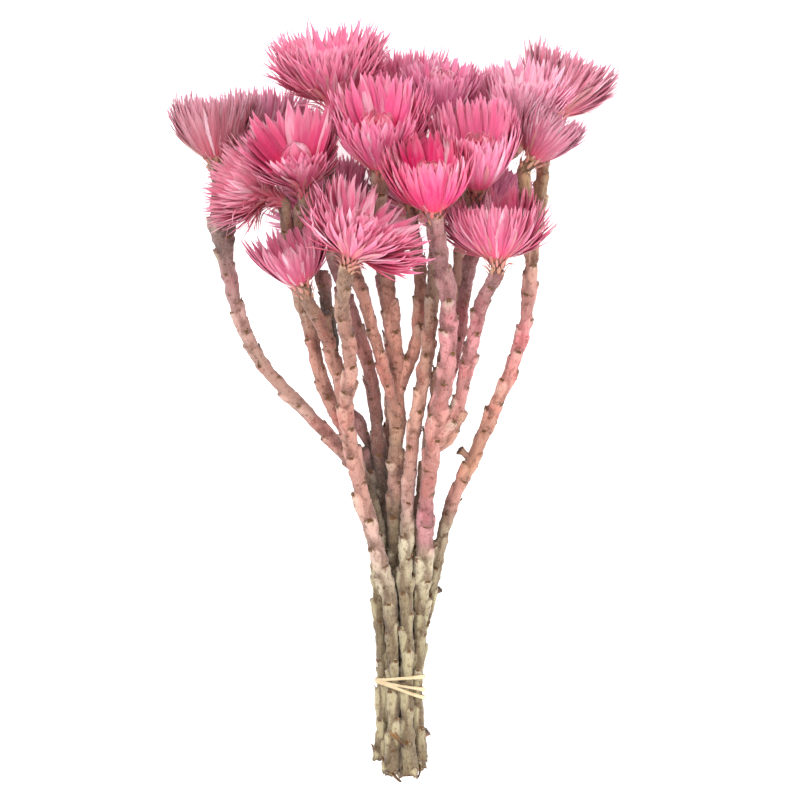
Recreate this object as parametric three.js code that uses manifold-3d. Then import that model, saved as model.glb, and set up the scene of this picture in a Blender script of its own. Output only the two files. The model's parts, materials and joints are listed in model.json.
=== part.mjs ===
// A bunch of dried Cape strawflowers: nine cut, forking, leaf-scarred stems tied with raffia,
// with twenty heads of pointed papery bracts. It lies on a table. Millimetres, +Z up.
// Layout frame: X across the bunch, Y from the tie towards the heads, Z up from the table.

import * as THREE from "three";
import { mergeVertices } from "three/addons/utils/BufferGeometryUtils.js";
import Module from "manifold-3d";

const wasm = await Module();
wasm.setup();

// ---- driving dimensions ----

const TIE_GAP = 0.3; // clearance between pieces that touch
const SLOT_RING = 7.8; // radius of the ring of eight stems at the tie, with a ninth in the middle
const SLOT_STEM = 2.8; // radius of a stem where it is tied
const SLOT_CORE = 4.85; // radius of the middle stem where it is tied
const SLOT_FLARE = { cut: 0.045, heads: 0.05 }; // of the ring, for each mm away from the tie
const RAFFIA_SIDES = 12;
const RAFFIA_WIDTH = 1.9;
const RAFFIA_THICK = 0.7;
const RAFFIA_INNER = SLOT_RING + SLOT_STEM + TIE_GAP; // to the flats
const AXIS_HEIGHT = RAFFIA_INNER + RAFFIA_THICK; // of the tied bundle above the table
const CUT_END = -38; // where the stems are cut, with a ragged spread
const CUT_SPREAD = 4;
const TIED_TO = 14; // the stems are held straight up to here
const LOOSE_FROM = 54; // and have their own radius from here

const STEP = 5; // between the points of a stem's line
const RUN_IN = 7; // straight, before a head
const SMOOTHING = 0.3; // the share by which a line's point moves to the middle of its neighbours
const HOMING = 0.04; // and then back towards its route
const SETTLE_ROUNDS = 160;
const STEM_CLEARANCE = 1.3; // between the lines of two stems, beyond their radii
const HEAD_CLEARANCE = 10; // kept by a stem from the axis of another head's receptacle
const HEAD_DEPTH = 18; // of a receptacle

const GOLDEN_ANGLE = 2.39996;
const STEM_SIDES = 6;
const SCAR_EVERY = 3; // points
const LEAF_GIRTH = 0.9; // a share of the stem's radius, just below a scar
const LEAF_SWELL = 0.12; // and how far a leaf's base swells out there
const SCAR_GIRTH = 0.85; // just above the scar
const SCAR_STEP = 0.7; // along the stem, from the one to the other
const BUD_GIRTHS = [[0, 0.6], [0.45, 1], [0.75, 0.75], [1, 0.15]]; // share of the length, girth
const STUB_GIRTHS = [[0, 1], [0.8, 0.8], [1, 0.95]];
const SCRAP = 0.02; // the finest form that joining keeps

const FOOT_RADIUS = 3.4; // of a receptacle on the stem's end
const BARREL_RADIUS = 7; // the least of a receptacle's ring of roots
const DISC_HEIGHT = 17.5;
const BULK_HEIGHT = 22; // from a head's foot to the middle of its bulk
const BRACT_LENGTH = 27;
const BRACT_THICK = 0.8;
const NOTCH_AT = 0.4; // of the bract's length, where two neighbours part
const KEEL_AT = 0.58;
const KEEL_DEPTH = 0.9;
const TIP_SPREAD = 0.12; // of the bract's length, by which tips fall short
const LEAST_LEAN = 0.22; // of a bract at its root
const BLOOM_SEED = 101;

// A bract's place runs from 0, low on the outside of the head, to 1 beside the disc. Each row
// gives a place, the root's distance from the axis and height above the foot, the length as a
// share, and the leans at root and tip as shares of the head's opening.
const SPIRAL = [
  { place: 0, out: 4.6, up: 1.8, length: 0.7, rootLean: 1.25, tipLean: 0.95 },
  { place: 0.25, out: 6.8, up: 5.8, length: 0.92, rootLean: 1.2, tipLean: 0.8 },
  { place: 0.5, out: 7.6, up: 10, length: 0.98, rootLean: 1.1, tipLean: 0.68 },
  { place: 0.75, out: 7.2, up: 14.2, length: 0.92, rootLean: 0.95, tipLean: 0.58 },
  { place: 1, out: 6.2, up: 17.5, length: 0.84, rootLean: 0.8, tipLean: 0.5 },
];
const RING_PLACES = [0.08, 0.47, 0.9]; // of the solids' three rings of bracts
const BRACTS = 11; // in a ring

// A head's upper side was pressed in the bunch: it opens less and its inner bracts are shorter.
const UPPER_CLOSES = 0.62;
const UPPER_SHORTER = 0.45;

// Fitting a head in its place: what its bracts keep clear of, and what is tried in turn.
const HEAD_MARGIN = 0.35; // from the plane between two heads
const STEM_MARGIN = 1.5; // from a stem to a bract's middle line
const TABLE_MARGIN = 0.05;
const NEAR_REACH = 50; // from a head's middle to the stems that can touch it
const OWN_REACH = 15; // of a head's own shoot that isn't tested
const TEST_SHARES = [0.25, NOTCH_AT, KEEL_AT, 0.75, 0.88, 1]; // where a bract is tested
const STRETCHES = [1, 0.92, 0.84, 0.76, 0.68, 0.6, 0.52, 0.44];
const LEAST_SHARE = 0.24; // of the opening
const SHARE_STEP = 0.02;
const OPENING_SPREAD = 0.1;
const LENGTH_SPREAD = 0.14;
const TURN_SPREAD = 0.3;

// The heads: the foot, the way it faces, how wide it opens in degrees, its size and its dye.
const HEADS = {
  bloom_01: { foot: [-30, 263.5, 66], faces: [-0.07, 0.96, 0.25], opens: 72, size: 1.03, dye: "#d9718f" },
  bloom_02: { foot: [-82.5, 237.5, 61], faces: [-0.1, 0.99, -0.02], opens: 47, size: 0.92, dye: "#c9748f" },
  bloom_03: { foot: [-62, 243, 28], faces: [-0.05, 0.97, -0.2], opens: 62, size: 0.92, dye: "#c2718c" },
  bloom_04: { foot: [-57.5, 221.7, 73], faces: [-0.88, 0.42, 0.2], opens: 62, size: 0.82, dye: "#cf7890" },
  bloom_05: { foot: [-43.7, 226.4, 84], faces: [-0.16, 0.82, 0.55], opens: 80, size: 0.98, dye: "#df5286" },
  bloom_06: { foot: [-9, 233.5, 82], faces: [-0.04, 0.88, 0.47], opens: 66, size: 1.06, dye: "#dc7897" },
  bloom_07: { foot: [15.3, 213.8, 103], faces: [-0.08, 0.92, 0.39], opens: 50, size: 0.92, dye: "#e64f88" },
  bloom_08: { foot: [35, 224.5, 85], faces: [0, 0.88, 0.47], opens: 60, size: 1.04, dye: "#e07c9c" },
  bloom_09: { foot: [43.2, 192.2, 90], faces: [0, 0.98, 0.18], opens: 66, size: 0.9, dye: "#dd6d97" },
  bloom_10: { foot: [-22, 193, 105], faces: [0.32, 0.89, 0.3], opens: 96, size: 0.95, dye: "#dd7d98" },
  bloom_11: { foot: [-43.6, 181, 77], faces: [-0.38, 0.91, 0.15], opens: 44, size: 0.78, dye: "#dc6f93" },
  bloom_12: { foot: [58.5, 237.6, 85], faces: [0.6, 0.8, 0.03], opens: 46, size: 0.82, dye: "#c8708f" },
  bloom_13: { foot: [69, 259, 32], faces: [0.38, 0.91, -0.15], opens: 60, size: 0.95, dye: "#c76b8a" },
  bloom_14: { foot: [18.2, 256.6, 64], faces: [0.05, 0.965, 0.25], opens: 58, size: 0.84, dye: "#c4607f" },
  bloom_15: { foot: [41, 257, 26], faces: [0, 1, -0.05], opens: 58, size: 0.86, dye: "#bf6582" },
  bloom_16: { foot: [2, 260, 28.6], faces: [0, 0.99, -0.1], opens: 58, size: 0.84, dye: "#c06784" },
  bloom_17: { foot: [55, 252.5, 56], faces: [0, 0.968, 0.25], opens: 60, size: 0.92, dye: "#d08fa0" },
  bloom_18: { foot: [-30, 210.5, 37], faces: [-0.31, 0.72, -0.62], opens: 62, size: 0.92, dye: "#c06784" },
  bloom_19: { foot: [6.4, 216.3, 36], faces: [0.1, 0.73, -0.68], opens: 62, size: 0.92, dye: "#bd6380" },
  bloom_20: { foot: [41.4, 212.8, 36.2], faces: [0.41, 0.76, -0.51], opens: 62, size: 0.92, dye: "#c06784" },
};

// The stems: the slot at the tie in degrees round the bundle, and the shoots. The first shoot
// runs from the cut end. Each other leaves shoot number "from" at the distance "leaves" along Y.
// "radii" are at the shoot's start and end, and "route" is laid by hand.
const STEMS = {
  stem_1: {
    slot: 112.5,
    colour: "#cda79a",
    shoots: [
      {
        bloom: "bloom_11", radii: [4, 3.2],
        route: [[-3, 40, 23], [-8, 52, 28], [-13, 72, 36], [-18, 90, 43], [-22, 108, 50], [-25, 130, 58],
          [-28, 144, 62], [-31, 156, 66], [-36, 166, 70]],
      },
      {
        bloom: "bloom_10", from: 0, leaves: 128, radii: [3.3, 3.4],
        route: [[-21, 141, 68], [-22, 154, 77], [-27, 167, 87], [-26, 177, 96]],
      },
      {
        bloom: "bloom_05", from: 0, leaves: 108, radii: [3.3, 3.3],
        route: [[-31, 128, 50], [-37, 143, 51], [-40, 161, 52], [-45, 178, 54], [-47, 200, 58],
          [-45, 218, 66]],
      },
      {
        bloom: "bloom_04", from: 2, leaves: 190, radii: [2.8, 2.8],
        route: [[-52, 206, 62], [-50, 216, 69]],
      },
    ],
  },
  stem_2: {
    slot: 157.5,
    colour: "#b08c86",
    knuckle: { shoot: 0, at: 210, radii: [6, 12, 5.2] },
    shoots: [
      {
        bloom: "bloom_02", radii: [3.3, 3.2],
        route: [[-9, 50, 20], [-9, 74, 26], [-11, 84, 29], [-16, 98, 33], [-23, 105, 36], [-33, 115, 40],
          [-47, 130, 44], [-58, 140, 47], [-65, 149, 49], [-70, 160, 51], [-74, 169, 53], [-76, 180, 55],
          [-79, 194, 57], [-80, 209, 58], [-82, 224, 60]],
      },
      {
        bloom: "bloom_03", from: 0, leaves: 205, radii: [3, 2.8],
        route: [[-76, 220, 48], [-67, 233, 37]],
      },
    ],
  },
  stem_3: {
    slot: null,
    colour: "#a98d76",
    shoots: [
      {
        bloom: "bloom_06", radii: [3.9, 3.5],
        route: [[-1, 40, 15], [-2, 58, 22], [-2, 80, 30], [-2, 99, 37], [-1, 121, 44], [-2, 135, 48],
          [0, 148, 51], [-3, 161, 54], [-6, 180, 57], [-8, 200, 60], [-10, 215, 66]],
      },
      {
        bloom: "bloom_18", from: 0, leaves: 124, radii: [2.8, 2.8],
        route: [[-5, 135, 54], [-8, 148, 60], [-11, 157, 63], [-15, 174, 64], [-20, 188, 57], [-26, 200, 50]],
      },
      {
        bloom: "bloom_19", from: 0, leaves: 134, radii: [3, 2.8],
        route: [[4, 146, 51], [9, 158, 51], [10, 180, 50], [8, 197, 50]],
      },
    ],
  },
  stem_4: {
    slot: 202.5,
    colour: "#94776a",
    bud: { at: 116, lean: [-0.75, 0.6, 0.3], length: 15, radius: 3.2 },
    shoots: [
      {
        bloom: "bloom_01", radii: [3.2, 3.2],
        route: [[-8, 45, 12], [-9, 70, 19], [-9, 95, 29], [-10, 115, 38], [-12, 135, 43], [-14, 148, 46],
          [-17, 157, 48], [-22, 169, 50], [-28, 190, 52], [-31, 215, 54], [-33, 240, 60]],
      },
    ],
  },
  stem_5: {
    slot: 67.5,
    colour: "#d3a99f",
    shoots: [
      {
        bloom: "bloom_14", radii: [3.3, 2.9],
        route: [[3, 40, 23], [4, 64, 30], [4, 84, 37], [5, 108, 45], [7, 121, 49], [10, 138, 54],
          [13, 151, 58], [14, 167, 61], [15, 184, 63], [17, 205, 62], [19, 230, 62]],
      },
    ],
  },
  stem_6: {
    slot: 22.5,
    colour: "#d39a9d",
    shoots: [
      {
        bloom: "bloom_07", radii: [4.3, 3.7],
        route: [[8, 38, 19], [9, 54, 25], [10, 68, 31], [11, 81, 37], [13, 94, 43], [15, 111, 50],
          [18, 128, 57], [22, 144, 64], [22, 161, 71], [22, 178, 80], [18, 194, 90]],
      },
      {
        bloom: "bloom_09", from: 0, leaves: 111, radii: [3, 3.2],
        route: [[25, 117, 53], [29, 127, 55], [28, 138, 58], [31, 151, 63], [34, 161, 67], [36, 177, 75]],
      },
      {
        bloom: "bloom_08", from: 0, leaves: 106, radii: [2.9, 3.2],
        route: [[13, 118, 44], [15, 130, 46], [22, 141, 51], [28, 158, 55], [28, 174, 58], [31, 190, 62],
          [36, 206, 69]],
      },
    ],
  },
  stem_7: {
    slot: 337.5,
    colour: "#cb9c92",
    stub: { at: 96, lean: [0.55, 0.8, 0.1], length: 9, radius: 2.6 },
    shoots: [
      {
        bloom: "bloom_12", radii: [2.9, 3.1],
        route: [[11, 32, 12], [16, 54, 17], [19, 68, 21], [21, 78, 25], [25, 88, 29], [29, 96, 33],
          [34, 105, 37], [43, 128, 47], [47, 135, 50], [52, 148, 56], [56, 161, 62], [58, 174, 68],
          [59, 187, 74], [60, 197, 78], [58, 215, 85]],
      },
      {
        bloom: "bloom_13", from: 0, leaves: 198, radii: [2.9, 3],
        route: [[62, 211, 70], [63, 222, 61], [65, 236, 50]],
      },
    ],
  },
  stem_8: {
    slot: 247.5,
    colour: "#9c8378",
    shoots: [
      {
        bloom: "bloom_16", radii: [3, 3],
        route: [[-4, 45, 8], [-5, 70, 13], [-5, 95, 19], [-4, 120, 26], [-3, 150, 32], [-6, 180, 36],
          [-12, 205, 38], [-12, 228, 37], [-5, 248, 36]],
      },
    ],
  },
  stem_9: {
    slot: 292.5,
    colour: "#a58a7c",
    shoots: [
      {
        bloom: "bloom_17", radii: [3.3, 3],
        route: [[5, 45, 8], [9, 75, 14], [13, 108, 22], [18, 140, 30], [23, 165, 38], [27, 185, 44],
          [27, 205, 50], [30, 225, 54], [44, 238, 57]],
      },
      {
        bloom: "bloom_20", from: 0, leaves: 180, radii: [2.8, 2.8],
        route: [[33, 196, 47]],
      },
      {
        bloom: "bloom_15", from: 0, leaves: 202, radii: [2.8, 2.8],
        route: [[26, 216, 44], [25, 230, 37], [32, 243, 31]],
      },
    ],
  },
};

// The raffia: three flat strands that meet on the left of the bundle and fan out to the right.
const STRANDS = [{ left: 2.7, right: 4.6 }, { left: 2.6, right: -1.6 }, { left: 2.5, right: -5.2 }];
const KNOT = { angle: 216, along: 2.6, raised: 0.4, radii: [1.9, 2.8, 1.6] };
const TAIL = { lengths: [-11, 9], rise: 1.2, drift: 2, radius: 0.8, taper: 0.5, turns: [0, 0.4, 0.8, 1] };
const RAFFIA_COLOUR = "#dcc9a0";
const ROUGHNESS = { stem: 0.95, bract: 0.55, raffia: 0.7 };

// ---- small helpers ----

const vector = (list) => new THREE.Vector3(...list);
const radians = THREE.MathUtils.degToRad;
const mix = THREE.MathUtils.lerp;

function seededRandom(seed) {
  let state = seed;
  return () => {
    state = (state * 1664525 + 1013904223) % 4294967296;
    return state / 4294967296;
  };
}

function signedVolume(points, triangles) {
  let sum = 0;
  for (const [a, b, c] of triangles) {
    sum += points[a].dot(new THREE.Vector3().crossVectors(points[b], points[c]));
  }
  return sum / 6;
}

// A closed set of triangles becomes a solid with its faces pointing out.
function solidOf(points, triangles) {
  const inside = signedVolume(points, triangles) < 0;
  const order = inside ? triangles.map(([a, b, c]) => [a, c, b]) : triangles;
  const mesh = new wasm.Mesh({
    numProp: 3,
    vertProperties: new Float32Array(points.flatMap((p) => p.toArray())),
    triVerts: new Uint32Array(order.flat()),
  });
  return new wasm.Manifold(mesh);
}

function solidOfGeometry(geometry) {
  geometry.deleteAttribute("normal");
  geometry.deleteAttribute("uv");
  const merged = mergeVertices(geometry, 1e-4);
  const place = merged.attributes.position;
  const points = Array.from({ length: place.count }, (_, i) =>
    new THREE.Vector3().fromBufferAttribute(place, i));
  const corners = Array.from(merged.index.array);
  const triangles = [];
  for (let i = 0; i < corners.length; i += 3) {
    const [a, b, c] = corners.slice(i, i + 3);
    if (a !== b && b !== c && c !== a) triangles.push([a, b, c]);
  }
  return solidOf(points, triangles);
}

// Solids joined in one body: hollows that the joining seals are filled, and scraps dropped.
function joined(solids) {
  const whole = solids.reduce((sum, solid) => sum.add(solid)).simplify(SCRAP);
  return whole.decompose().reduce((best, body) => (body.volume() > best.volume() ? body : best));
}

function meshOf(name, solid, colour, roughness) {
  const { vertProperties, triVerts } = solid.getMesh();
  const geometry = new THREE.BufferGeometry();
  geometry.setAttribute("position", new THREE.BufferAttribute(new Float32Array(vertProperties), 3));
  geometry.setIndex(new THREE.BufferAttribute(new Uint32Array(triVerts), 1));
  geometry.computeVertexNormals();
  const material = new THREE.MeshStandardMaterial({ color: colour, roughness, metalness: 0 });
  const mesh = new THREE.Mesh(geometry, material);
  mesh.name = name;
  return mesh;
}

// ---- the heads' frames ----

function headFrame(name, { foot, faces, opens, size }) {
  const axis = vector(faces).normalize();
  const base = vector(foot);
  const bulk = base.clone().addScaledVector(axis, BULK_HEIGHT * size);
  const u = new THREE.Vector3(0, 0, 1).cross(axis).normalize();
  const v = new THREE.Vector3().crossVectors(axis, u);
  return { name, axis, base, bulk, u, v, opens: radians(opens), size };
}

const heads = Object.entries(HEADS).map(([name, row]) => headFrame(name, row));
const headNamed = (name) => heads.find((head) => head.name === name);

// ---- the stems' lines ----

// A stem's place in the bundle: tight at the tie, and a little looser towards both ends.
function slotPoint(slot, y) {
  if (slot === null) return new THREE.Vector3(0, y, AXIS_HEIGHT);
  const ring = SLOT_RING + (y < 0 ? SLOT_FLARE.cut * -y : SLOT_FLARE.heads * y);
  const turn = radians(slot);
  return new THREE.Vector3(ring * Math.cos(turn), y, AXIS_HEIGHT + ring * Math.sin(turn));
}

function resampled(points) {
  const curve = new THREE.CatmullRomCurve3(points, false, "centripetal");
  const count = Math.max(3, Math.round(curve.getLength() / STEP));
  return curve.getSpacedPoints(count);
}

// The end of a shoot: two points on the head's own axis, so that the shoot runs into it straight.
function shootEnd(head) {
  return [RUN_IN, TIE_GAP].map((back) => head.base.clone().addScaledVector(head.axis, -back));
}

function shootLine(stem, shoot, parent, random) {
  const end = shootEnd(headNamed(shoot.bloom));
  const route = shoot.route.map(vector);
  if (parent) {
    const leaves = parent.points.reduce((best, p, i) =>
      (Math.abs(p.y - shoot.leaves) < Math.abs(parent.points[best].y - shoot.leaves) ? i : best), 0);
    return { leaves, points: resampled([parent.points[leaves], ...route, ...end]) };
  }
  const cut = CUT_END + CUT_SPREAD * (2 * random() - 1);
  const tied = [cut, cut / 2, 0, TIED_TO].map((y) => slotPoint(stem.slot, y));
  return { leaves: null, points: resampled([...tied, ...route, ...end]) };
}

function radiusAt(stem, shoot, point, share) {
  const free = mix(shoot.radii[0], shoot.radii[1], share);
  const tied = stem.slot === null ? SLOT_CORE : SLOT_STEM;
  const loose = THREE.MathUtils.smoothstep(point.y, TIED_TO, LOOSE_FROM);
  return shoot.from === undefined ? mix(tied, free, loose) : free;
}

function layShoots() {
  const random = seededRandom(7);
  const lines = [];
  for (const [name, stem] of Object.entries(STEMS)) {
    const own = [];
    for (const shoot of stem.shoots) {
      const parent = shoot.from === undefined ? null : own[shoot.from];
      const { leaves, points } = shootLine(stem, shoot, parent, random);
      const last = points.length - 1;
      const radii = points.map((p, i) => radiusAt(stem, shoot, p, i / last));
      const line = { stem: name, bloom: shoot.bloom, parent, leaves, points, radii };
      own.push(line);
      lines.push(line);
    }
  }
  return lines;
}

// Which points of a line stay where they are: the tied stretch, and the run into the head.
function isHeld(line, i) {
  const last = line.points.length - 1;
  return i >= last - 1 || (line.parent ? i === 0 : line.points[i].y <= TIED_TO);
}

function pushApart(a, b, reach) {
  const gap = new THREE.Vector3().subVectors(a.point, b.point);
  const distance = gap.length();
  if (distance >= reach || distance < 1e-6) return;
  const share = a.held || b.held ? 1 : 0.5;
  gap.multiplyScalar((share * (reach - distance)) / distance);
  if (!a.held) a.point.add(gap);
  if (!b.held) b.point.sub(gap);
}

function pushFromHead(item, head) {
  const along = THREE.MathUtils.clamp(item.point.clone().sub(head.base).dot(head.axis), -2, HEAD_DEPTH);
  const nearest = head.base.clone().addScaledVector(head.axis, along);
  pushApart(item, { point: nearest, held: true }, HEAD_CLEARANCE + item.radius);
}

function smoothLine(line, items) {
  const before = line.points.map((p) => p.clone());
  for (let i = 1; i < before.length - 1; i += 1) {
    if (items[i].held) continue;
    const middle = before[i - 1].clone().add(before[i + 1]).multiplyScalar(0.5);
    line.points[i].lerp(middle, SMOOTHING).lerp(items[i].home, HOMING);
  }
}

// The lines settle: they stay smooth and near their hand-laid routes, clear of each other, of
// the other heads and of the table.
function settle(lines) {
  const items = lines.map((line) => line.points.map((point, i) => (
    { line, point, home: point.clone(), radius: line.radii[i], held: isHeld(line, i) })));
  const all = items.flat();
  for (let round = 0; round < SETTLE_ROUNDS; round += 1) {
    lines.forEach((line, k) => {
      if (line.parent) line.points[0].copy(line.parent.points[line.leaves]);
      smoothLine(line, items[k]);
    });
    for (let i = 0; i < all.length; i += 1) {
      for (let j = i + 1; j < all.length; j += 1) {
        if (all[i].line.stem === all[j].line.stem || (all[i].held && all[j].held)) continue;
        pushApart(all[i], all[j], all[i].radius + all[j].radius + STEM_CLEARANCE);
      }
      if (all[i].held) continue;
      for (const head of heads) if (head.name !== all[i].line.bloom) pushFromHead(all[i], head);
      all[i].point.z = Math.max(all[i].point.z, all[i].radius + TIE_GAP);
    }
  }
  for (const line of lines) if (line.parent) line.points[0].copy(line.parent.points[line.leaves]);
  return all;
}

// ---- the stems' solids ----

// One turn of a stem: a ring of points round its line, swollen to one side by a leaf's base.
function stemTurn(centre, u, v, radius, girth, swell, side) {
  const turn = [];
  for (let i = 0; i < STEM_SIDES; i += 1) {
    const angle = (2 * Math.PI * i) / STEM_SIDES;
    const reach = radius * (girth + swell * Math.max(0, Math.cos(angle - side)));
    const spoke = u.clone().multiplyScalar(Math.cos(angle)).addScaledVector(v, Math.sin(angle));
    turn.push(centre.clone().addScaledVector(spoke, reach));
  }
  return turn;
}

function tubeSolid(turns) {
  const sides = turns[0].length;
  const points = turns.flat();
  const triangles = [];
  for (let k = 0; k + 1 < turns.length; k += 1) {
    for (let i = 0; i < sides; i += 1) {
      const [a, b] = [k * sides + i, k * sides + ((i + 1) % sides)];
      triangles.push([a, b, a + sides], [b, b + sides, a + sides]);
    }
  }
  const top = (turns.length - 1) * sides;
  for (let i = 1; i + 1 < sides; i += 1) {
    triangles.push([0, i + 1, i], [top, top + i, top + i + 1]);
  }
  return solidOf(points, triangles);
}

// The points of a line that get a turn: every third one, and the last.
function turnPoints(last) {
  const count = Math.max(1, Math.floor(last / SCAR_EVERY));
  return [...Array.from({ length: count }, (_, k) => k * SCAR_EVERY), last];
}

// A shoot: its turns end the leaves' bases, which swell out on one side and step back at the
// scars above them. The scars go round the shoot by the golden angle.
function shootSolid(line, number) {
  const { points, radii, bloom } = line;
  const last = points.length - 1;
  const turns = [];
  const u = new THREE.Vector3(1, 0, 0.2);
  for (const i of turnPoints(last)) {
    const ahead = points[Math.min(i + 1, last)].clone().sub(points[Math.max(i - 1, 0)]).normalize();
    if (i === last) ahead.copy(headNamed(bloom).axis);
    u.addScaledVector(ahead, -u.dot(ahead)).normalize();
    const v = new THREE.Vector3().crossVectors(ahead, u);
    const side = (i / SCAR_EVERY + number) * GOLDEN_ANGLE;
    const scarred = i > 1 && i < last - 1;
    turns.push(stemTurn(points[i], u, v, radii[i], LEAF_GIRTH, scarred ? LEAF_SWELL : 0, side));
    if (!scarred) continue;
    const above = points[i].clone().addScaledVector(ahead, SCAR_STEP);
    turns.push(stemTurn(above, u, v, radii[i], SCAR_GIRTH, 0, side));
  }
  return tubeSolid(turns);
}

// A short twig that leans off a stem: a dry bud, or the stub of a lost shoot.
function twigSolid(line, { at, lean, length, radius }, girths) {
  const start = line.points.reduce((best, p) => (Math.abs(p.y - at) < Math.abs(best.y - at) ? p : best));
  const ahead = vector(lean).normalize();
  const u = new THREE.Vector3(0, 0, 1).cross(ahead).normalize();
  const v = new THREE.Vector3().crossVectors(ahead, u);
  return tubeSolid(girths.map(([share, girth]) =>
    stemTurn(start.clone().addScaledVector(ahead, share * length), u, v, radius, girth, 0, 0)));
}

function knuckleSolid(line, { at, radii }) {
  const centre = line.points.reduce((best, p) => (Math.abs(p.y - at) < Math.abs(best.y - at) ? p : best));
  const ball = new THREE.IcosahedronGeometry(1, 1).scale(...radii).translate(...centre.toArray());
  return solidOfGeometry(ball);
}

function stemSolid(name, stem, lines) {
  const own = lines.filter((line) => line.stem === name);
  const solids = own.map((line, i) => shootSolid(line, i));
  if (stem.bud) solids.push(twigSolid(own[0], stem.bud, BUD_GIRTHS));
  if (stem.stub) solids.push(twigSolid(own[0], stem.stub, STUB_GIRTHS));
  if (stem.knuckle) solids.push(knuckleSolid(own[stem.knuckle.shoot], stem.knuckle));
  return joined(solids);
}

// ---- the heads' solids ----

// The row of the spiral for any place in it.
function spiralAt(place) {
  const next = SPIRAL.findIndex((row) => row.place >= place && row.place > 0);
  const [low, high] = [SPIRAL[next - 1], SPIRAL[next]];
  const share = (place - low.place) / (high.place - low.place);
  return Object.fromEntries(Object.keys(low).map((key) => [key, mix(low[key], high[key], share)]));
}

const RINGS = RING_PLACES.map(spiralAt);

// 1 on a head's upper side, and 0 on its lower half.
const upperShare = (turn) => Math.max(0, Math.sin(turn));

// A point on a bract, which bends evenly from root to tip. "lift" is the distance from its outer
// face towards the middle of the head.
function bractPoint(head, turn, ring, opens, stretch, share, lift = 0) {
  const shorter = 1 - UPPER_SHORTER * ring.place * upperShare(turn);
  const length = BRACT_LENGTH * head.size * ring.length * stretch * shorter;
  const start = Math.max(opens * ring.rootLean, LEAST_LEAN);
  const bend = opens * (ring.tipLean - ring.rootLean);
  const now = start + bend * share;
  const root = Math.max(ring.out, BARREL_RADIUS) * head.size;
  const out = root + (length * (Math.cos(start) - Math.cos(now))) / bend - lift * Math.cos(now);
  const up = ring.up * head.size + (length * (Math.sin(now) - Math.sin(start))) / bend + lift * Math.sin(now);
  return head.base.clone()
    .addScaledVector(head.axis, up)
    .addScaledVector(head.u, out * Math.cos(turn))
    .addScaledVector(head.v, out * Math.sin(turn));
}

// What a head's bracts have to stay clear of: the planes half way to the other heads, the
// stems near it and the table.
function surroundings(head, items) {
  const planes = heads.filter((other) => other !== head).map((other) => {
    const normal = other.bulk.clone().sub(head.bulk);
    const half = normal.length() / 2;
    return { normal: normal.normalize(), limit: normal.dot(head.bulk) + half - HEAD_MARGIN };
  });
  const near = items.filter(({ point, line }) => {
    const behind = point.clone().sub(head.base).dot(head.axis);
    const own = line.bloom === head.name && point.distanceTo(head.base) < OWN_REACH && behind < 0;
    return !own && point.distanceTo(head.bulk) < NEAR_REACH;
  });
  return { planes, near };
}

function isClear(point, { planes, near }) {
  if (point.z < TABLE_MARGIN) return false;
  if (planes.some(({ normal, limit }) => normal.dot(point) > limit)) return false;
  return near.every((item) => item.point.distanceTo(point) > item.radius + STEM_MARGIN);
}

function sideIsClear(head, turn, opens, stretch, around) {
  return RINGS.every((ring) => TEST_SHARES.every((share) => {
    const half = (Math.PI / BRACTS) * Math.min(1, (1 - share) / (1 - NOTCH_AT));
    return [-half, 0, half].every((aside) =>
      isClear(bractPoint(head, turn + aside, ring, opens, stretch, share, -KEEL_DEPTH), around));
  }));
}

// One side of a head: the widest opening that all its rings can take there, and how far the
// bracts stretch. Rings share the opening, so one ring never crosses another.
function fitSide(head, turn, around, random) {
  const spread = 1 + OPENING_SPREAD * (random() - 0.5);
  const wanted = head.opens * spread * (1 - UPPER_CLOSES * upperShare(turn));
  const longest = 1 - LENGTH_SPREAD * random();
  for (const stretch of STRETCHES) {
    for (let share = 1; share > LEAST_SHARE; share -= SHARE_STEP) {
      const side = { turn, opens: wanted * share, stretch: longest * stretch };
      if (sideIsClear(head, turn, side.opens, side.stretch, around)) return side;
    }
  }
  return { turn, opens: wanted * LEAST_SHARE, stretch: longest * STRETCHES[STRETCHES.length - 1] };
}

function headSides(head, items, random) {
  const around = surroundings(head, items);
  const spin = random() * Math.PI;
  return Array.from({ length: 2 * BRACTS }, (_, j) =>
    fitSide(head, spin + (Math.PI * (j + TURN_SPREAD * (random() - 0.5))) / BRACTS, around, random));
}

// A head's skin while it is made: its points, its triangles, and a way to add a point on a ring
// of bracts. Points in a circle are kept by the number of their side.
function emptySkin(head) {
  const points = [];
  const add = (point) => points.push(point) - 1;
  const place = (ring, side, share, lift = 0, stretch = 1) =>
    add(bractPoint(head, side.turn, ring, side.opens, side.stretch * stretch, share, lift));
  return { head, points, triangles: [], add, place };
}

const isRoot = (j) => j % 2 === 1;

function rootCircle(skin, sides, ring, lift) {
  return sides.map((side, j) => (isRoot(j) ? skin.place(ring, side, 0, lift) : null));
}

function footCircle(skin, sides) {
  const { base, u, v } = skin.head;
  return sides.map(({ turn }, j) => (isRoot(j) ? skin.add(base.clone()
    .addScaledVector(u, FOOT_RADIUS * Math.cos(turn))
    .addScaledVector(v, FOOT_RADIUS * Math.sin(turn))) : null));
}

// Between two circles of points, or between a circle and its middle.
function addBand(skin, lower, upper) {
  lower.forEach((here, j) => {
    if (!isRoot(j)) return;
    const next = (j + 2) % lower.length;
    skin.triangles.push([here, lower[next], upper[j]], [lower[next], upper[next], upper[j]]);
  });
}

function addCap(skin, circle, up, facesStem) {
  const middle = skin.add(skin.head.base.clone().addScaledVector(skin.head.axis, up));
  circle.forEach((here, j) => {
    if (!isRoot(j)) return;
    const next = circle[(j + 2) % circle.length];
    skin.triangles.push(facesStem ? [middle, next, here] : [middle, here, next]);
  });
}

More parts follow.
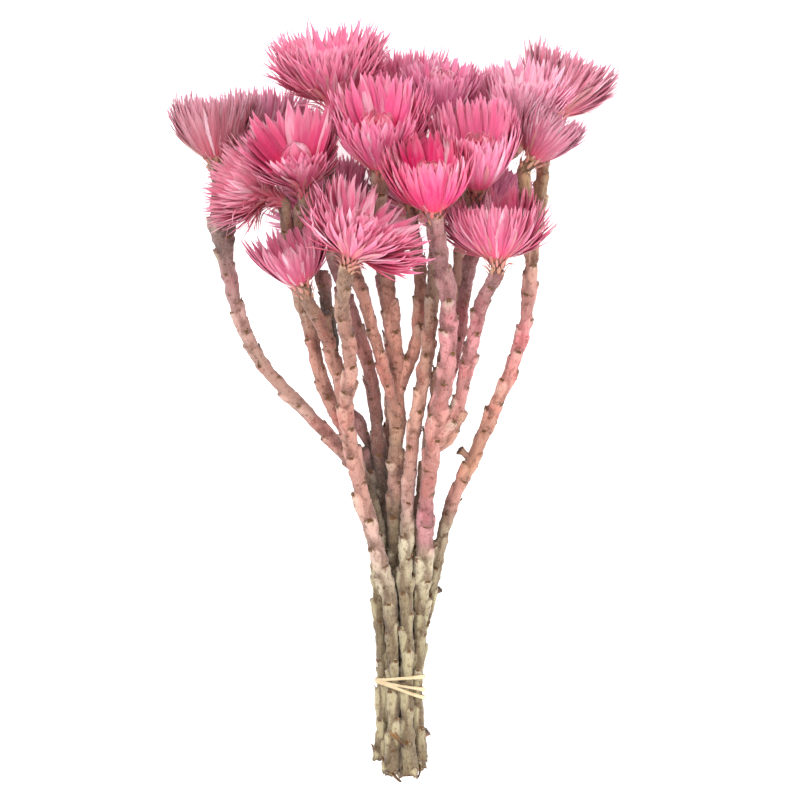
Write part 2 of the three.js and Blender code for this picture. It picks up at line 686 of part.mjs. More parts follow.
// One ring of bracts, from the circle of roots "below" it on its outer face to the one "above" it
// on its inner face. Its bracts stand on the root points or between them, with the notches there.
function addRing(skin, sides, ring, onRoots, below, above, random) {
  const count = sides.length;
  const isBract = (j) => isRoot(j) === onRoots;
  const notches = [0, BRACT_THICK].map((lift) =>
    sides.map((side, j) => (isBract(j) ? null : skin.place(ring, side, NOTCH_AT, lift))));
  sides.forEach((side, j) => {
    if (!isBract(j)) return;
    const [left, right] = [(j + count - 1) % count, (j + 1) % count];
    const [[a, b], [aIn, bIn]] = notches.map((circle) => [circle[left], circle[right]]);
    const keel = skin.place(ring, side, KEEL_AT, -KEEL_DEPTH);
    const keelIn = skin.place(ring, side, KEEL_AT, BRACT_THICK - KEEL_DEPTH);
    const tip = skin.place(ring, side, 1, 0, 1 - TIP_SPREAD * random());
    skin.triangles.push([a, keel, tip], [keel, b, tip], [aIn, tip, keelIn], [keelIn, tip, bIn]);
    skin.triangles.push([a, tip, aIn], [b, bIn, tip]);
    if (onRoots) {
      const far = (j + 2) % count;
      skin.triangles.push([below[j], below[far], b], [below[j], b, keel], [below[j], keel, a]);
      skin.triangles.push([above[j], bIn, above[far]], [above[j], keelIn, bIn], [above[j], aIn, keelIn]);
    } else {
      skin.triangles.push([below[left], below[right], keel], [below[left], keel, a], [below[right], b, keel]);
      skin.triangles.push([above[left], keelIn, above[right]], [above[left], aIn, keelIn]);
      skin.triangles.push([above[right], keelIn, bIn]);
    }
  });
}

// The head is one closed skin. From the stem's end it runs up the receptacle, out along each ring
// of bracts and back, and closes over the disc. The rings are staggered, so one ring's bracts
// stand where the next one's notches are.
function bloomSolid(head, items, number) {
  const random = seededRandom(BLOOM_SEED + number);
  const sides = headSides(head, items, random);
  const skin = emptySkin(head);
  const foot = footCircle(skin, sides);
  const circles = RINGS.map((ring) => rootCircle(skin, sides, ring, 0));
  circles.push(rootCircle(skin, sides, RINGS[RINGS.length - 1], BRACT_THICK));
  addCap(skin, foot, 0, true);
  addBand(skin, foot, circles[0]);
  RINGS.forEach((ring, r) => addRing(skin, sides, ring, isRoot(r), circles[r], circles[r + 1], random));
  addCap(skin, circles[RINGS.length], DISC_HEIGHT * head.size, false);
  return solidOf(skin.points, skin.triangles);
}

// ---- the raffia tie ----

function strandSolid({ left, right }) {
  const points = [];
  const outer = AXIS_HEIGHT / Math.cos(Math.PI / RAFFIA_SIDES);
  const inner = RAFFIA_INNER / Math.cos(Math.PI / RAFFIA_SIDES);
  for (let i = 0; i < RAFFIA_SIDES; i += 1) {
    const turn = (2 * Math.PI * (i + 0.5)) / RAFFIA_SIDES;
    const along = mix(left, right, (1 + Math.cos(turn)) / 2);
    for (const [reach, aside] of [[outer, -0.5], [outer, 0.5], [inner, 0.5], [inner, -0.5]]) {
      points.push(new THREE.Vector3(
        reach * Math.cos(turn), along + aside * RAFFIA_WIDTH, AXIS_HEIGHT + reach * Math.sin(turn)));
    }
  }
  const triangles = [];
  for (let i = 0; i < RAFFIA_SIDES; i += 1) {
    const [here, next] = [4 * i, 4 * ((i + 1) % RAFFIA_SIDES)];
    for (let k = 0; k < 4; k += 1) {
      const far = (k + 1) % 4;
      triangles.push([here + k, next + k, here + far], [here + far, next + k, next + far]);
    }
  }
  return solidOf(points, triangles);
}

// The knot sits low on the left, and its two tails lie along the bundle.
function knotSolids() {
  const turn = radians(KNOT.angle);
  const reach = AXIS_HEIGHT + KNOT.raised;
  const centre = new THREE.Vector3(reach * Math.cos(turn), KNOT.along, AXIS_HEIGHT + reach * Math.sin(turn));
  const ball = new THREE.IcosahedronGeometry(1, 1).scale(...KNOT.radii).translate(...centre.toArray());
  const out = new THREE.Vector3(Math.cos(turn), 0, Math.sin(turn));
  const flat = new THREE.Vector3(-Math.sin(turn), 0, Math.cos(turn));
  const tails = TAIL.lengths.map((length) => tubeSolid(TAIL.turns.map((share) => {
    const place = centre.clone().add(new THREE.Vector3(0, length * share, 0))
      .addScaledVector(out, TAIL.rise * share).addScaledVector(flat, TAIL.drift * share * share);
    return stemTurn(place, flat, out, TAIL.radius, 1 - TAIL.taper * share, 0, 0);
  })));
  return [solidOfGeometry(ball), ...tails];
}

// ---- the bunch ----

const group = new THREE.Group();
const lines = layShoots();
const items = settle(lines);
Object.entries(STEMS).forEach(([name, stem]) => {
  group.add(meshOf(name, stemSolid(name, stem, lines), stem.colour, ROUGHNESS.stem));
});
heads.forEach((head, number) => {
  const bloom = bloomSolid(head, items, number);
  group.add(meshOf(head.name, bloom, HEADS[head.name].dye, ROUGHNESS.bract));
});
const tie = joined([...STRANDS.map(strandSolid), ...knotSolids()]);
group.add(meshOf("raffia_tie", tie, RAFFIA_COLOUR, ROUGHNESS.raffia));

// The origin goes to the middle of the bunch's footprint, on the table.
const box = new THREE.Box3().setFromObject(group);
group.position.set(-(box.min.x + box.max.x) / 2, -(box.min.y + box.max.y) / 2, -box.min.z);

export default group;
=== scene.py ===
import json
import math

import bpy
import numpy as np
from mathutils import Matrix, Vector

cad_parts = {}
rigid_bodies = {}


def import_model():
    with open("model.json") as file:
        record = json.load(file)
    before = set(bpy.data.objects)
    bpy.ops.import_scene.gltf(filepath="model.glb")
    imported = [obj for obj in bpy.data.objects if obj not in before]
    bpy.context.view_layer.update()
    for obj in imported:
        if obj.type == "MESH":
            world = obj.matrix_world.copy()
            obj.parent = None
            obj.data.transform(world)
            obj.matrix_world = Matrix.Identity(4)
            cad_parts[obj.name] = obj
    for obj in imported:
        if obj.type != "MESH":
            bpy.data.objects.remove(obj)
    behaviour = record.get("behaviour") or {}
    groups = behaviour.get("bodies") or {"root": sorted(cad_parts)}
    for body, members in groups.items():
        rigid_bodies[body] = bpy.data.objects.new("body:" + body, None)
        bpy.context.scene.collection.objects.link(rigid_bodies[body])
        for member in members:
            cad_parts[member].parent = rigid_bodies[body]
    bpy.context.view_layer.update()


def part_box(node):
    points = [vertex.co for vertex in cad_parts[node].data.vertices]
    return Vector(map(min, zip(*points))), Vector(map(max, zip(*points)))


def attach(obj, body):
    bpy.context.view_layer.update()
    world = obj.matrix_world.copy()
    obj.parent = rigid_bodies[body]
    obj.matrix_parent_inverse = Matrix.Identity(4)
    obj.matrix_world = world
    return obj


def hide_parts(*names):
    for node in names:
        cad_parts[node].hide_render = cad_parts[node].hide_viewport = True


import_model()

# ---- Where the heads stand ----
# Twenty strawflower heads crown the bunch, each on the end of its own shoot. A head's row gives
# its foot, the way it faces, how wide it opens in degrees and its size, in the layout frame:
# millimetres, X across, Y from the tie towards the heads, Z up from the table.

HEADS = {
    "bloom_01": ((-30, 263.5, 66), (-0.07, 0.96, 0.25), 72, 1.03),
    "bloom_02": ((-82.5, 237.5, 61), (-0.1, 0.99, -0.02), 47, 0.92),
    "bloom_03": ((-62, 243, 28), (-0.05, 0.97, -0.2), 62, 0.92),
    "bloom_04": ((-57.5, 221.7, 73), (-0.88, 0.42, 0.2), 62, 0.82),
    "bloom_05": ((-43.7, 226.4, 84), (-0.16, 0.82, 0.55), 80, 0.98),
    "bloom_06": ((-9, 233.5, 82), (-0.04, 0.88, 0.47), 66, 1.06),
    "bloom_07": ((15.3, 213.8, 103), (-0.08, 0.92, 0.39), 50, 0.92),
    "bloom_08": ((35, 224.5, 85), (0, 0.88, 0.47), 60, 1.04),
    "bloom_09": ((43.2, 192.2, 90), (0, 0.98, 0.18), 66, 0.9),
    "bloom_10": ((-22, 193, 105), (0.32, 0.89, 0.3), 96, 0.95),
    "bloom_11": ((-43.6, 181, 77), (-0.38, 0.91, 0.15), 44, 0.78),
    "bloom_12": ((58.5, 237.6, 85), (0.6, 0.8, 0.03), 46, 0.82),
    "bloom_13": ((69, 259, 32), (0.38, 0.91, -0.15), 60, 0.95),
    "bloom_14": ((18.2, 256.6, 64), (0.05, 0.965, 0.25), 58, 0.84),
    "bloom_15": ((41, 257, 26), (0, 1, -0.05), 58, 0.86),
    "bloom_16": ((2, 260, 28.6), (0, 0.99, -0.1), 58, 0.84),
    "bloom_17": ((55, 252.5, 56), (0, 0.968, 0.25), 60, 0.92),
    "bloom_18": ((-30, 210.5, 37), (-0.31, 0.72, -0.62), 62, 0.92),
    "bloom_19": ((6.4, 216.3, 36), (0.1, 0.73, -0.68), 62, 0.92),
    "bloom_20": ((41.4, 212.8, 36.2), (0.41, 0.76, -0.51), 62, 0.92),
}
BULK_HEIGHT = 22  # from a head's foot to the middle of its bulk, at size 1
MM = 0.001

# The tie's solid says where the layout frame lies: its right side and the lower of its two tails
# are at known places of the layout.
TIE_RIGHT, TAIL_LOW = 11.6, -8.4
tie_low, tie_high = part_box("raffia_tie")
layout_shift = np.array([tie_high.x - TIE_RIGHT * MM, tie_low.y - TAIL_LOW * MM, tie_low.z])


def in_frame(points):
    """Layout millimetres to the frame's metres."""
    return np.asarray(points, float) * MM + layout_shift


def unit(vector):
    vector = np.asarray(vector, float)
    return vector / np.linalg.norm(vector)


def seeded_random(seed):
    """The same draws as the part's source makes from that seed."""
    state = seed
    while True:
        state = (state * 1664525 + 1013904223) % 4294967296
        yield state / 4294967296


def head_frame(name, foot, faces, opens, size):
    """A head's place, its three axes and its form; the axis "v" is its upper side."""
    axis = unit(faces)
    base = np.array(foot, float)
    across = unit(np.cross((0, 0, 1), axis))
    return {
        "name": name, "axis": axis, "base": base, "bulk": base + BULK_HEIGHT * size * axis,
        "u": across, "v": np.cross(axis, across), "opens": math.radians(opens), "size": size,
    }


heads = {name: head_frame(name, *row) for name, row in HEADS.items()}

# ---- Stems ----
# Nine cut stems of a shrubby everlasting, forked into twenty shoots. They are woody, covered in
# grey-white felt that took up the pink dye towards the top, and stepped all the way by the
# swollen bases of fallen leaves, each with a brown scar. The raffia tie holds them together.

TIE_GAP = 0.3
SLOT_RING = 7.8  # radius of the ring of eight stems at the tie, with a ninth in the middle
SLOT_STEM = 2.8  # radius of a stem where it is tied
SLOT_CORE = 4.85  # radius of the middle stem where it is tied
WIDER_BELOW, WIDER_ABOVE = -0.045, 0.05  # how fast the ring widens on both sides of the tie
RAFFIA_INNER = SLOT_RING + SLOT_STEM + TIE_GAP
RAFFIA_THICK = 0.7
AXIS_HEIGHT = RAFFIA_INNER + RAFFIA_THICK
CUT_END, CUT_SPREAD = -38, 4
TIED_TO, LOOSE_FROM = 14, 54  # held straight up to the first, and free from the second
STEP = 5  # between the points of a stem's line
STEM_CLEARANCE = 1.3
HEAD_CLEARANCE = 10
HEAD_BACK, HEAD_DEPTH = -2, 18  # the stretch of a head's axis that other stems keep clear of
NECK = 7  # of a shoot's line that runs straight into its head
LAYING_SEED = 7
SETTLE_ROUNDS = 160
SMOOTHING, HOMING = 0.3, 0.04  # shares of the way to a smooth line and to the route, in a round
NEAR_MARGIN = 6  # how far two points may move towards each other in a round

FELT = "#c4bd9b"
PALE_FELT = "#e2dcc2"
# Dark felt; where the stems use it, it is also painted shade deep among the stems between the tie and the
# heads.
SHADED_DARK_FELT = "#7d6a58"
MAUVE = "#b98c94"
STRAW = "#b99a78"

# A stem's row: its slot at the tie in degrees round the bundle, its colours at distances along Y, its twigs
# and its shoots. The first shoot runs from the cut end, and each other leaves shoot number "from" at the
# distance "leaves". "radii" are at a shoot's start and end; "route" lists points on its way.
# Each twig is on the first shoot: its kind, where it leaves, its lean, length, radius and bend.
STRAIGHT = (0, 0, 0)
STEMS = {
    "stem_1": {
        "slot": 112.5,
        "dyed": [(20, FELT), (48, PALE_FELT), (62, "#e3c8bf"), (90, "#e1aea4"), (150, "#d5a093"),
                 (180, "#b59480")],
        "twigs": [("fibre", -21, (-0.6, 0.1, 0.9), 8, 0.8, (9, -6, -3)),
                  ("fibre", -22, (0.1, 0.1, 0.9), 8, 0.8, (4, -8, -3)),
                  ("fibre", -33, (-0.5, -0.9, 0.1), 8, 0.7, (8, -1, 2)),
                  ("stub", 156, (-0.1, 1, 0.3), 15, 3, STRAIGHT),
                  ("bristly", 150, (-0.12, 1, -0.1), 38, 3.4, STRAIGHT)],
        "shoots": [
            {"bloom": "bloom_11", "radii": (4, 3.2),
             "route": [(-3, 40, 23), (-8, 52, 28), (-13, 72, 36), (-18, 90, 43), (-22, 108, 50),
                       (-25, 130, 58), (-28, 144, 62), (-31, 156, 66), (-36, 166, 70)]},
            {"bloom": "bloom_10", "from": 0, "leaves": 128, "radii": (3.3, 3.4),
             "route": [(-21, 141, 68), (-22, 154, 77), (-27, 167, 87), (-26, 177, 96)]},
            {"bloom": "bloom_05", "from": 0, "leaves": 108, "radii": (3.3, 3.3),
             "route": [(-31, 128, 50), (-37, 143, 51), (-40, 161, 52), (-45, 178, 54), (-47, 200, 58),
                       (-45, 218, 66)]},
            {"bloom": "bloom_04", "from": 2, "leaves": 190, "radii": (2.8, 2.8),
             "route": [(-52, 206, 62), (-50, 216, 69)]},
        ],
    },
    "stem_2": {
        "slot": 157.5,
        # the dark stop at 92 is dark felt and painted shade deep among the stems
        "dyed": [(60, FELT), (92, SHADED_DARK_FELT), (112, "#d9aea6"), (150, "#debbb0"), (182, "#cda2a5"),
                 (200, "#8d7471")],
        "twigs": [],
        "shoots": [
            {"bloom": "bloom_02", "radii": (3.3, 3.2),
             "route": [(-9, 50, 20), (-9, 74, 26), (-11, 84, 29), (-16, 98, 33), (-23, 105, 36),
                       (-33, 115, 40), (-47, 130, 44), (-58, 140, 47), (-65, 149, 49), (-70, 160, 51),
                       (-74, 169, 53), (-76, 180, 55), (-79, 194, 57), (-80, 209, 58), (-82, 224, 60)]},
            {"bloom": "bloom_03", "from": 0, "leaves": 205, "radii": (3, 2.8),
             "route": [(-76, 220, 48), (-67, 233, 37)]},
        ],
    },
    "stem_3": {
        "slot": None,
        "dyed": [(60, "#9c9176"), (78, "#a8977b"), (92, "#c2978e"), (112, "#be9b83"), (135, "#d79b8d"),
                 (160, "#e9ae9e"), (190, "#b98d80")],
        "twigs": [],
        "shoots": [
            {"bloom": "bloom_06", "radii": (3.9, 3.5),
             "route": [(-1, 40, 15), (-2, 58, 22), (-2, 80, 30), (-2, 99, 37), (-1, 121, 44),
                       (-2, 135, 48), (0, 148, 51), (-3, 161, 54), (-6, 180, 57), (-8, 200, 60),
                       (-10, 215, 66)]},
            {"bloom": "bloom_18", "from": 0, "leaves": 124, "radii": (2.8, 2.8),
             "route": [(-5, 135, 54), (-8, 148, 60), (-11, 157, 63), (-15, 174, 64), (-20, 188, 57),
                       (-26, 200, 50)]},
            {"bloom": "bloom_19", "from": 0, "leaves": 134, "radii": (3, 2.8),
             "route": [(4, 146, 51), (9, 158, 51), (10, 180, 50), (8, 197, 50)]},
        ],
    },
    "stem_4": {
        "slot": 202.5,
        # the dark stops at 80 and 98 are dark felt and painted shade deep among the stems
        "dyed": [(50, FELT), (80, SHADED_DARK_FELT), (98, "#6f5a50"), (118, "#a97a72"), (150, "#c78a86"),
                 (190, MAUVE)],
        "twigs": [("bud", 97, (-0.35, 0.9, 0.2), 33, 3.2, (-1, 0, 0)),
                  ("bristly", 84, (-0.34, 0.95, 0.4), 29, 3.3, STRAIGHT)],
        "shoots": [
            {"bloom": "bloom_01", "radii": (3.2, 3.2),
             "route": [(-8, 45, 12), (-9, 70, 19), (-9, 95, 29), (-10, 115, 38), (-12, 135, 43),
                       (-14, 148, 46), (-17, 157, 48), (-22, 169, 50), (-28, 190, 52), (-31, 215, 54),
                       (-33, 240, 60)]},
        ],
    },
    "stem_5": {
        "slot": 67.5,
        "dyed": [(40, FELT), (68, PALE_FELT), (84, "#e6bdb8"), (110, "#f0bcae"), (150, "#e2b3a2"),
                 (176, "#bb9d8e")],
        "twigs": [("fibre", -33, (-0.7, -0.9, 0.1), 9, 0.8, (3, 1, 0))],
        "shoots": [
            {"bloom": "bloom_14", "radii": (3.3, 2.9),
             "route": [(3, 40, 23), (4, 64, 30), (4, 84, 37), (5, 108, 45), (7, 121, 49), (10, 138, 54),
                       (13, 151, 58), (14, 167, 61), (15, 184, 63), (17, 205, 62), (19, 230, 62)]},
        ],
    },
    "stem_6": {
        "slot": 22.5,
        "dyed": [(30, FELT), (60, PALE_FELT), (66, "#dfaab0"), (82, "#e39bab"), (90, "#e6a8a4"),
                 (118, "#e0a39c"), (160, "#e29ca6"), (185, "#b8868c")],
        "twigs": [("elbow", 106, (0.95, 0.3, 0.15), 14.5, 2.9, (0, 13, 4)),
                  ("fibre", -34, (0.3, -0.9, 0.3), 9, 0.5, (-4, 1, 0))],
        "shoots": [
            {"bloom": "bloom_07", "radii": (4.3, 3.7),
             "route": [(8, 38, 19), (9, 54, 25), (10, 68, 31), (11, 81, 37), (13, 94, 43), (15, 111, 50),
                       (18, 128, 57), (22, 144, 64), (22, 161, 71), (22, 178, 80), (18, 194, 90)]},
            {"bloom": "bloom_09", "from": 0, "leaves": 111, "radii": (3, 3.2),
             "route": [(25, 117, 53), (29, 127, 55), (28, 138, 58), (31, 151, 63), (34, 161, 67),
                       (36, 177, 75)]},
            {"bloom": "bloom_08", "from": 0, "leaves": 106, "radii": (2.9, 3.2),
             "route": [(13, 118, 44), (15, 130, 46), (22, 141, 51), (28, 158, 55), (28, 174, 58),
                       (31, 190, 62), (36, 206, 69)]},
        ],
    },
    "stem_7": {
        "slot": 337.5,
        "dyed": [(40, FELT), (74, "#f0e8ce"), (84, "#e6b0aa"), (100, "#dea991"), (130, "#e6ab9c"),
                 (160, "#eda2aa"), (190, "#d6aa9d"), (212, STRAW)],
        "twigs": [("stub", 96, (0.55, 0.8, 0.1), 9, 2.6, STRAIGHT),
                  ("stub", 104, (-0.75, 0.6, 0.2), 8, 2.2, STRAIGHT),
                  ("stub", 42, (0.75, 0.6, 0.2), 7, 1.6, STRAIGHT),
                  ("stub", -24, (0.7, 0.7, 0.3), 6, 2.4, STRAIGHT)],
        "shoots": [
            {"bloom": "bloom_12", "radii": (2.9, 3.1),
             "route": [(11, 32, 12), (16, 54, 17), (19, 68, 21), (21, 78, 25), (25, 88, 29), (29, 96, 33),
                       (34, 105, 37), (43, 128, 47), (47, 135, 50), (52, 148, 56), (56, 161, 62),
                       (58, 174, 68), (59, 187, 74), (60, 197, 78), (58, 215, 85)]},
            {"bloom": "bloom_13", "from": 0, "leaves": 198, "radii": (2.9, 3),
             "route": [(62, 211, 70), (63, 222, 61), (65, 236, 50)]},
        ],
    },
    "stem_8": {
        "slot": 247.5,
        "dyed": [(60, FELT), (90, "#a08a78"), (130, "#bd948a"), (200, MAUVE)],
        "twigs": [],
        "shoots": [
            {"bloom": "bloom_16", "radii": (3, 3),
             "route": [(-4, 45, 8), (-5, 70, 13), (-5, 95, 19), (-4, 120, 26), (-3, 150, 32),
                       (-6, 180, 36), (-12, 205, 38), (-12, 228, 37), (-5, 248, 36)]},
        ],
    },
    "stem_9": {
        "slot": 292.5,
        "dyed": [(60, FELT), (90, "#a5907c"), (130, "#c39a8e"), (200, "#c39a8e")],
        "twigs": [],
        "shoots": [
            {"bloom": "bloom_17", "radii": (3.3, 3),
             "route": [(5, 45, 8), (9, 75, 14), (13, 108, 22), (18, 140, 30), (23, 165, 38),
                       (27, 185, 44), (27, 205, 50), (30, 225, 54), (44, 238, 57)]},
            {"bloom": "bloom_20", "from": 0, "leaves": 180, "radii": (2.8, 2.8),
             "route": [(33, 196, 47)]},
            {"bloom": "bloom_15", "from": 0, "leaves": 202, "radii": (2.8, 2.8),
             "route": [(26, 216, 44), (25, 230, 37), (32, 243, 31)]},
        ],
    },
}


def slot_point(slot, y):
    """A stem's place in the bundle: tight at the tie, and a little looser towards both ends."""
    if slot is None:
        return np.array([0, y, AXIS_HEIGHT], float)
    ring = SLOT_RING + (WIDER_BELOW if y < 0 else WIDER_ABOVE) * y
    turn = math.radians(slot)
    return np.array([ring * math.cos(turn), y, AXIS_HEIGHT + ring * math.sin(turn)])


def smooth_run(points, step):
    """Points at even distances on a centripetal Catmull-Rom curve through the given points."""
    points = np.array(points, float)
    whole = np.vstack([2 * points[0] - points[1], points, 2 * points[-1] - points[-2]])
    spans = len(points) - 1

    def place(t):
        k = min(int(t * spans), spans - 1)
        w = t * spans - k
        a, b, c, d = whole[k:k + 4]
        before, here, after = (
            max(np.linalg.norm(q - p) ** 0.5, 1e-4) for p, q in ((a, b), (b, c), (c, d)))
        start = ((b - a) / before - (c - a) / (before + here) + (c - b) / here) * here
        end = ((c - b) / here - (d - b) / (here + after) + (d - c) / after) * here
        return (b + start * w + (3 * (c - b) - 2 * start - end) * w ** 2
                + (2 * (b - c) + start + end) * w ** 3)

    shares = np.linspace(0, 1, 201)
    lengths = np.cumsum([0, *np.linalg.norm(np.diff([place(t) for t in shares], axis=0), axis=1)])
    count = max(3, int(lengths[-1] / step + 0.5))
    even = np.interp(np.linspace(0, lengths[-1], count + 1), lengths, shares)
    return np.array([place(t) for t in even])


def smooth_step(low, high, value):
    """0 before low, 1 past high and smooth between them; high may be the lower one."""
    share = np.clip((value - low) / (high - low), 0, 1)
    return share * share * (3 - 2 * share)


def lay_shoots():
    """Each shoot's line before it settles: its points, its radii and the point where it leaves."""
    draws = seeded_random(LAYING_SEED)
    shoots = []
    for stem_name, stem in STEMS.items():
        own = []
        for row in stem["shoots"]:
            head = heads[row["bloom"]]
            end = [head["base"] - NECK * head["axis"], head["base"] - TIE_GAP * head["axis"]]
            parent = own[row["from"]] if "from" in row else None
            if parent:
                leaves = int(np.argmin(np.abs(parent["points"][:, 1] - row["leaves"])))
                start = [parent["points"][leaves]]
            else:
                leaves = None
                cut = CUT_END + CUT_SPREAD * (2 * next(draws) - 1)
                start = [slot_point(stem["slot"], y) for y in (cut, cut / 2, 0, TIED_TO)]
            points = smooth_run([*start, *row["route"], *end], STEP)
            radii = np.linspace(*row["radii"], len(points))
            if not parent:
                tied = SLOT_CORE if stem["slot"] is None else SLOT_STEM
                radii = tied + (radii - tied) * smooth_step(TIED_TO, LOOSE_FROM, points[:, 1])
            own.append({"stem": stem_name, "bloom": row["bloom"], "parent": parent, "leaves": leaves,
                        "points": points, "radii": radii})
        shoots += own
    return shoots


def push(point, i, other, reach, held, other_held=True, j=None):
    """Moves point i, and point j where other is one of the points, apart to that reach."""
    gap = point[i] - other
    distance = math.sqrt(gap @ gap)
    if distance >= reach or distance < 1e-6:
        return
    gap = gap * ((1 if held or other_held else 0.5) * (reach - distance) / distance)
    if not held:
        point[i] += gap
    if not other_held:
        point[j] -= gap


def settle(shoots):
    """The lines stay smooth and near their routes, clear of each other, the heads and the table."""
    first = np.cumsum([0, *(len(s["points"]) for s in shoots)])
    point = np.vstack([s["points"] for s in shoots])
    home = point.copy()
    radius = np.concatenate([s["radii"] for s in shoots])
    stem = np.concatenate([[s["stem"]] * len(s["points"]) for s in shoots])
    bloom = np.concatenate([[s["bloom"]] * len(s["points"]) for s in shoots])
    held = np.zeros(len(point), bool)
    for k, s in enumerate(shoots):
        held[first[k + 1] - 2:first[k + 1]] = True
        if s["parent"]:
            held[first[k]] = True
        else:
            held[first[k]:first[k + 1]] |= s["points"][:, 1] <= TIED_TO
    reach = radius[:, None] + radius[None] + STEM_CLEARANCE
    apart = (stem[:, None] != stem[None]) & ~(held[:, None] & held[None])
    apart &= np.triu(np.ones_like(apart), 1)
    number = {id(s): k for k, s in enumerate(shoots)}
    base = np.array([h["base"] for h in heads.values()])
    axis = np.array([h["axis"] for h in heads.values()])
    named = np.array(list(heads))

    def follow():
        """Goes through the shoots, each moved first to where it leaves its parent."""
        for k, s in enumerate(shoots):
            if s["parent"]:
                point[first[k]] = point[first[number[id(s["parent"])]] + s["leaves"]]
            yield k

    for _ in range(SETTLE_ROUNDS):
        for k in follow():
            before = point[first[k]:first[k + 1]].copy()
            inner = np.arange(first[k] + 1, first[k + 1] - 1)
            free = inner[~held[inner]]
            at = free - first[k]
            moved = before[at] + SMOOTHING * ((before[at - 1] + before[at + 1]) / 2 - before[at])
            point[free] = moved + HOMING * (home[free] - moved)
        distance = np.linalg.norm(point[:, None] - point[None], axis=2)
        close = np.argwhere(apart & (distance < reach + NEAR_MARGIN))
        pairs = np.split(close[:, 1], np.searchsorted(close[:, 0], np.arange(1, len(point))))
        for i in range(len(point)):
            for j in pairs[i]:
                push(point, i, point[j], reach[i, j], held[i], held[j], j)
            if held[i]:
                continue
            far = HEAD_CLEARANCE + HEAD_DEPTH + radius[i] + NEAR_MARGIN
            near = np.linalg.norm(point[i] - base, axis=1) < far
            for h in np.flatnonzero(near & (named != bloom[i])):
                along = min(max((point[i] - base[h]) @ axis[h], HEAD_BACK), HEAD_DEPTH)
                push(point, i, base[h] + along * axis[h], HEAD_CLEARANCE + radius[i], False)
            point[i, 2] = max(point[i, 2], radius[i] + TIE_GAP)
    for k in follow():
        shoots[k]["points"] = point[first[k]:first[k + 1]].copy()
    return {"point": point, "radius": radius, "bloom": bloom}


shoots = lay_shoots()
settled = settle(shoots)


def plain_colour(text):
    """A web colour as linear red, green and blue."""
    parts = np.array([int(text[k:k + 2], 16) / 255 for k in (1, 3, 5)])
    return np.where(parts <= 0.04045, parts / 12.92, ((parts + 0.055) / 1.055) ** 2.4)


def colour_run(stops, along):
    """The colours at distances along Y, from a row of stops."""
    at = [y for y, _ in stops]
    colours = np.array([plain_colour(text) for _, text in stops])
    return np.stack([np.interp(along, at, colours[:, k]) for k in range(3)], axis=1)


KNUCKLE = {"bloom": "bloom_02", "from": 192, "widest": 209, "to": 226, "radius": 6}
FLARE, FLARED_TO = 1, -14  # the stems are thicker at their cut ends
FOOT_REACH = 3  # a shoot's end runs on into the head's base


def shoot_rail(shoot):
    """The line that a shoot's felt is swept along: points, radii and colours."""
    head = heads[shoot["bloom"]]
    points = np.vstack([shoot["points"], head["base"] + FOOT_REACH * head["axis"]])
    radii = np.append(shoot["radii"], shoot["radii"][-1])
    y = points[:, 1]
    radii = radii + FLARE * (1 - smooth_step(CUT_END, FLARED_TO, y))
    if shoot["bloom"] == KNUCKLE["bloom"]:
        start, widest, end = KNUCKLE["from"], KNUCKLE["widest"], KNUCKLE["to"]
        rise = smooth_step(start, widest, y) * smooth_step(end, widest, y)
        radii = radii + (KNUCKLE["radius"] - radii) * rise
    return {"points": points, "radii": radii, "colours": colour_run(STEMS[shoot["stem"]]["dyed"], y)}


# Each kind of twig: its girths and its colours at shares of its length. A dry bud, the stub or the
# bristly stalk of a lost shoot, an elbow that lies along its shoot, and a loose fibre of bark.
TWIGS = {
    "bud": {"girths": [(0, 0.8), (0.45, 0.6), (0.6, 0.8), (0.75, 1), (0.88, 0.75), (0.96, 0.3), (1, 0.08)],
            "colours": [(0, "#6b574c"), (0.45, "#7d655c"), (0.6, "#b98a8a"), (0.85, "#c08c90"),
                        (1, "#5f4238")]},
    "stub": {"girths": [(0, 1), (0.3, 0.85), (0.7, 0.8), (0.85, 1), (0.97, 0.98), (1, 0.7)],
             "colours": [(0, "#b28c7c"), (0.6, "#c79a88"), (0.85, "#b08a72"), (0.95, "#5a3c26"),
                         (1, "#3c2818")]},
    "bristly": {"girths": [(0, 1), (0.3, 1), (0.7, 0.8), (0.85, 1), (0.97, 0.98), (1, 0.7)],
                "colours": [(0, "#463a33"), (0.55, "#5a4a42"), (0.75, "#94706b"), (0.9, "#cf9ba0"),
                            (1, "#7d5a4c")]},
    "elbow": {"girths": [(0, 1), (0.35, 1), (0.7, 0.95), (1, 0.9)],
              "colours": [(0, "#cf9a92"), (1, "#d6a590")]},
    "fibre": {"girths": [(0, 1), (0.25, 1), (0.5, 1), (0.75, 0.9), (1, 0.6)],
              "colours": [(0, "#c89f4a"), (0.6, "#a87a3a"), (1, "#6a4420")]},
}


def twig_rail(shoot, kind, leaves, lean, length, radius, bend):
    """The line of a twig that leans off a shoot: points, radii and colours."""
    start = shoot["points"][np.argmin(np.abs(shoot["points"][:, 1] - leaves))]
    shares, girths = np.array(TWIGS[kind]["girths"]).T
    points = start + np.outer(shares * length, unit(lean)) + np.outer(shares ** 2, bend)
    return {"points": points, "radii": radius * girths, "colours": colour_run(TWIGS[kind]["colours"], shares)}


def stem_rails(name):
    """The lines of a stem's shoots, and then of its twigs."""
    own = [shoot for shoot in shoots if shoot["stem"] == name]
    return [*map(shoot_rail, own), *(twig_rail(own[0], *twig) for twig in STEMS[name]["twigs"])]


def joined(rails):
    """The points of all the rails, in the frame, and the edges along each; some are closed."""
    edges, count = [], 0
    for rail in rails:
        own = len(rail["points"])
        steps = own if rail.get("closed") else own - 1
        edges += [(count + k, count + (k + 1) % own) for k in range(steps)]
        count += own
    return in_frame(np.vstack([rail["points"] for rail in rails])), edges


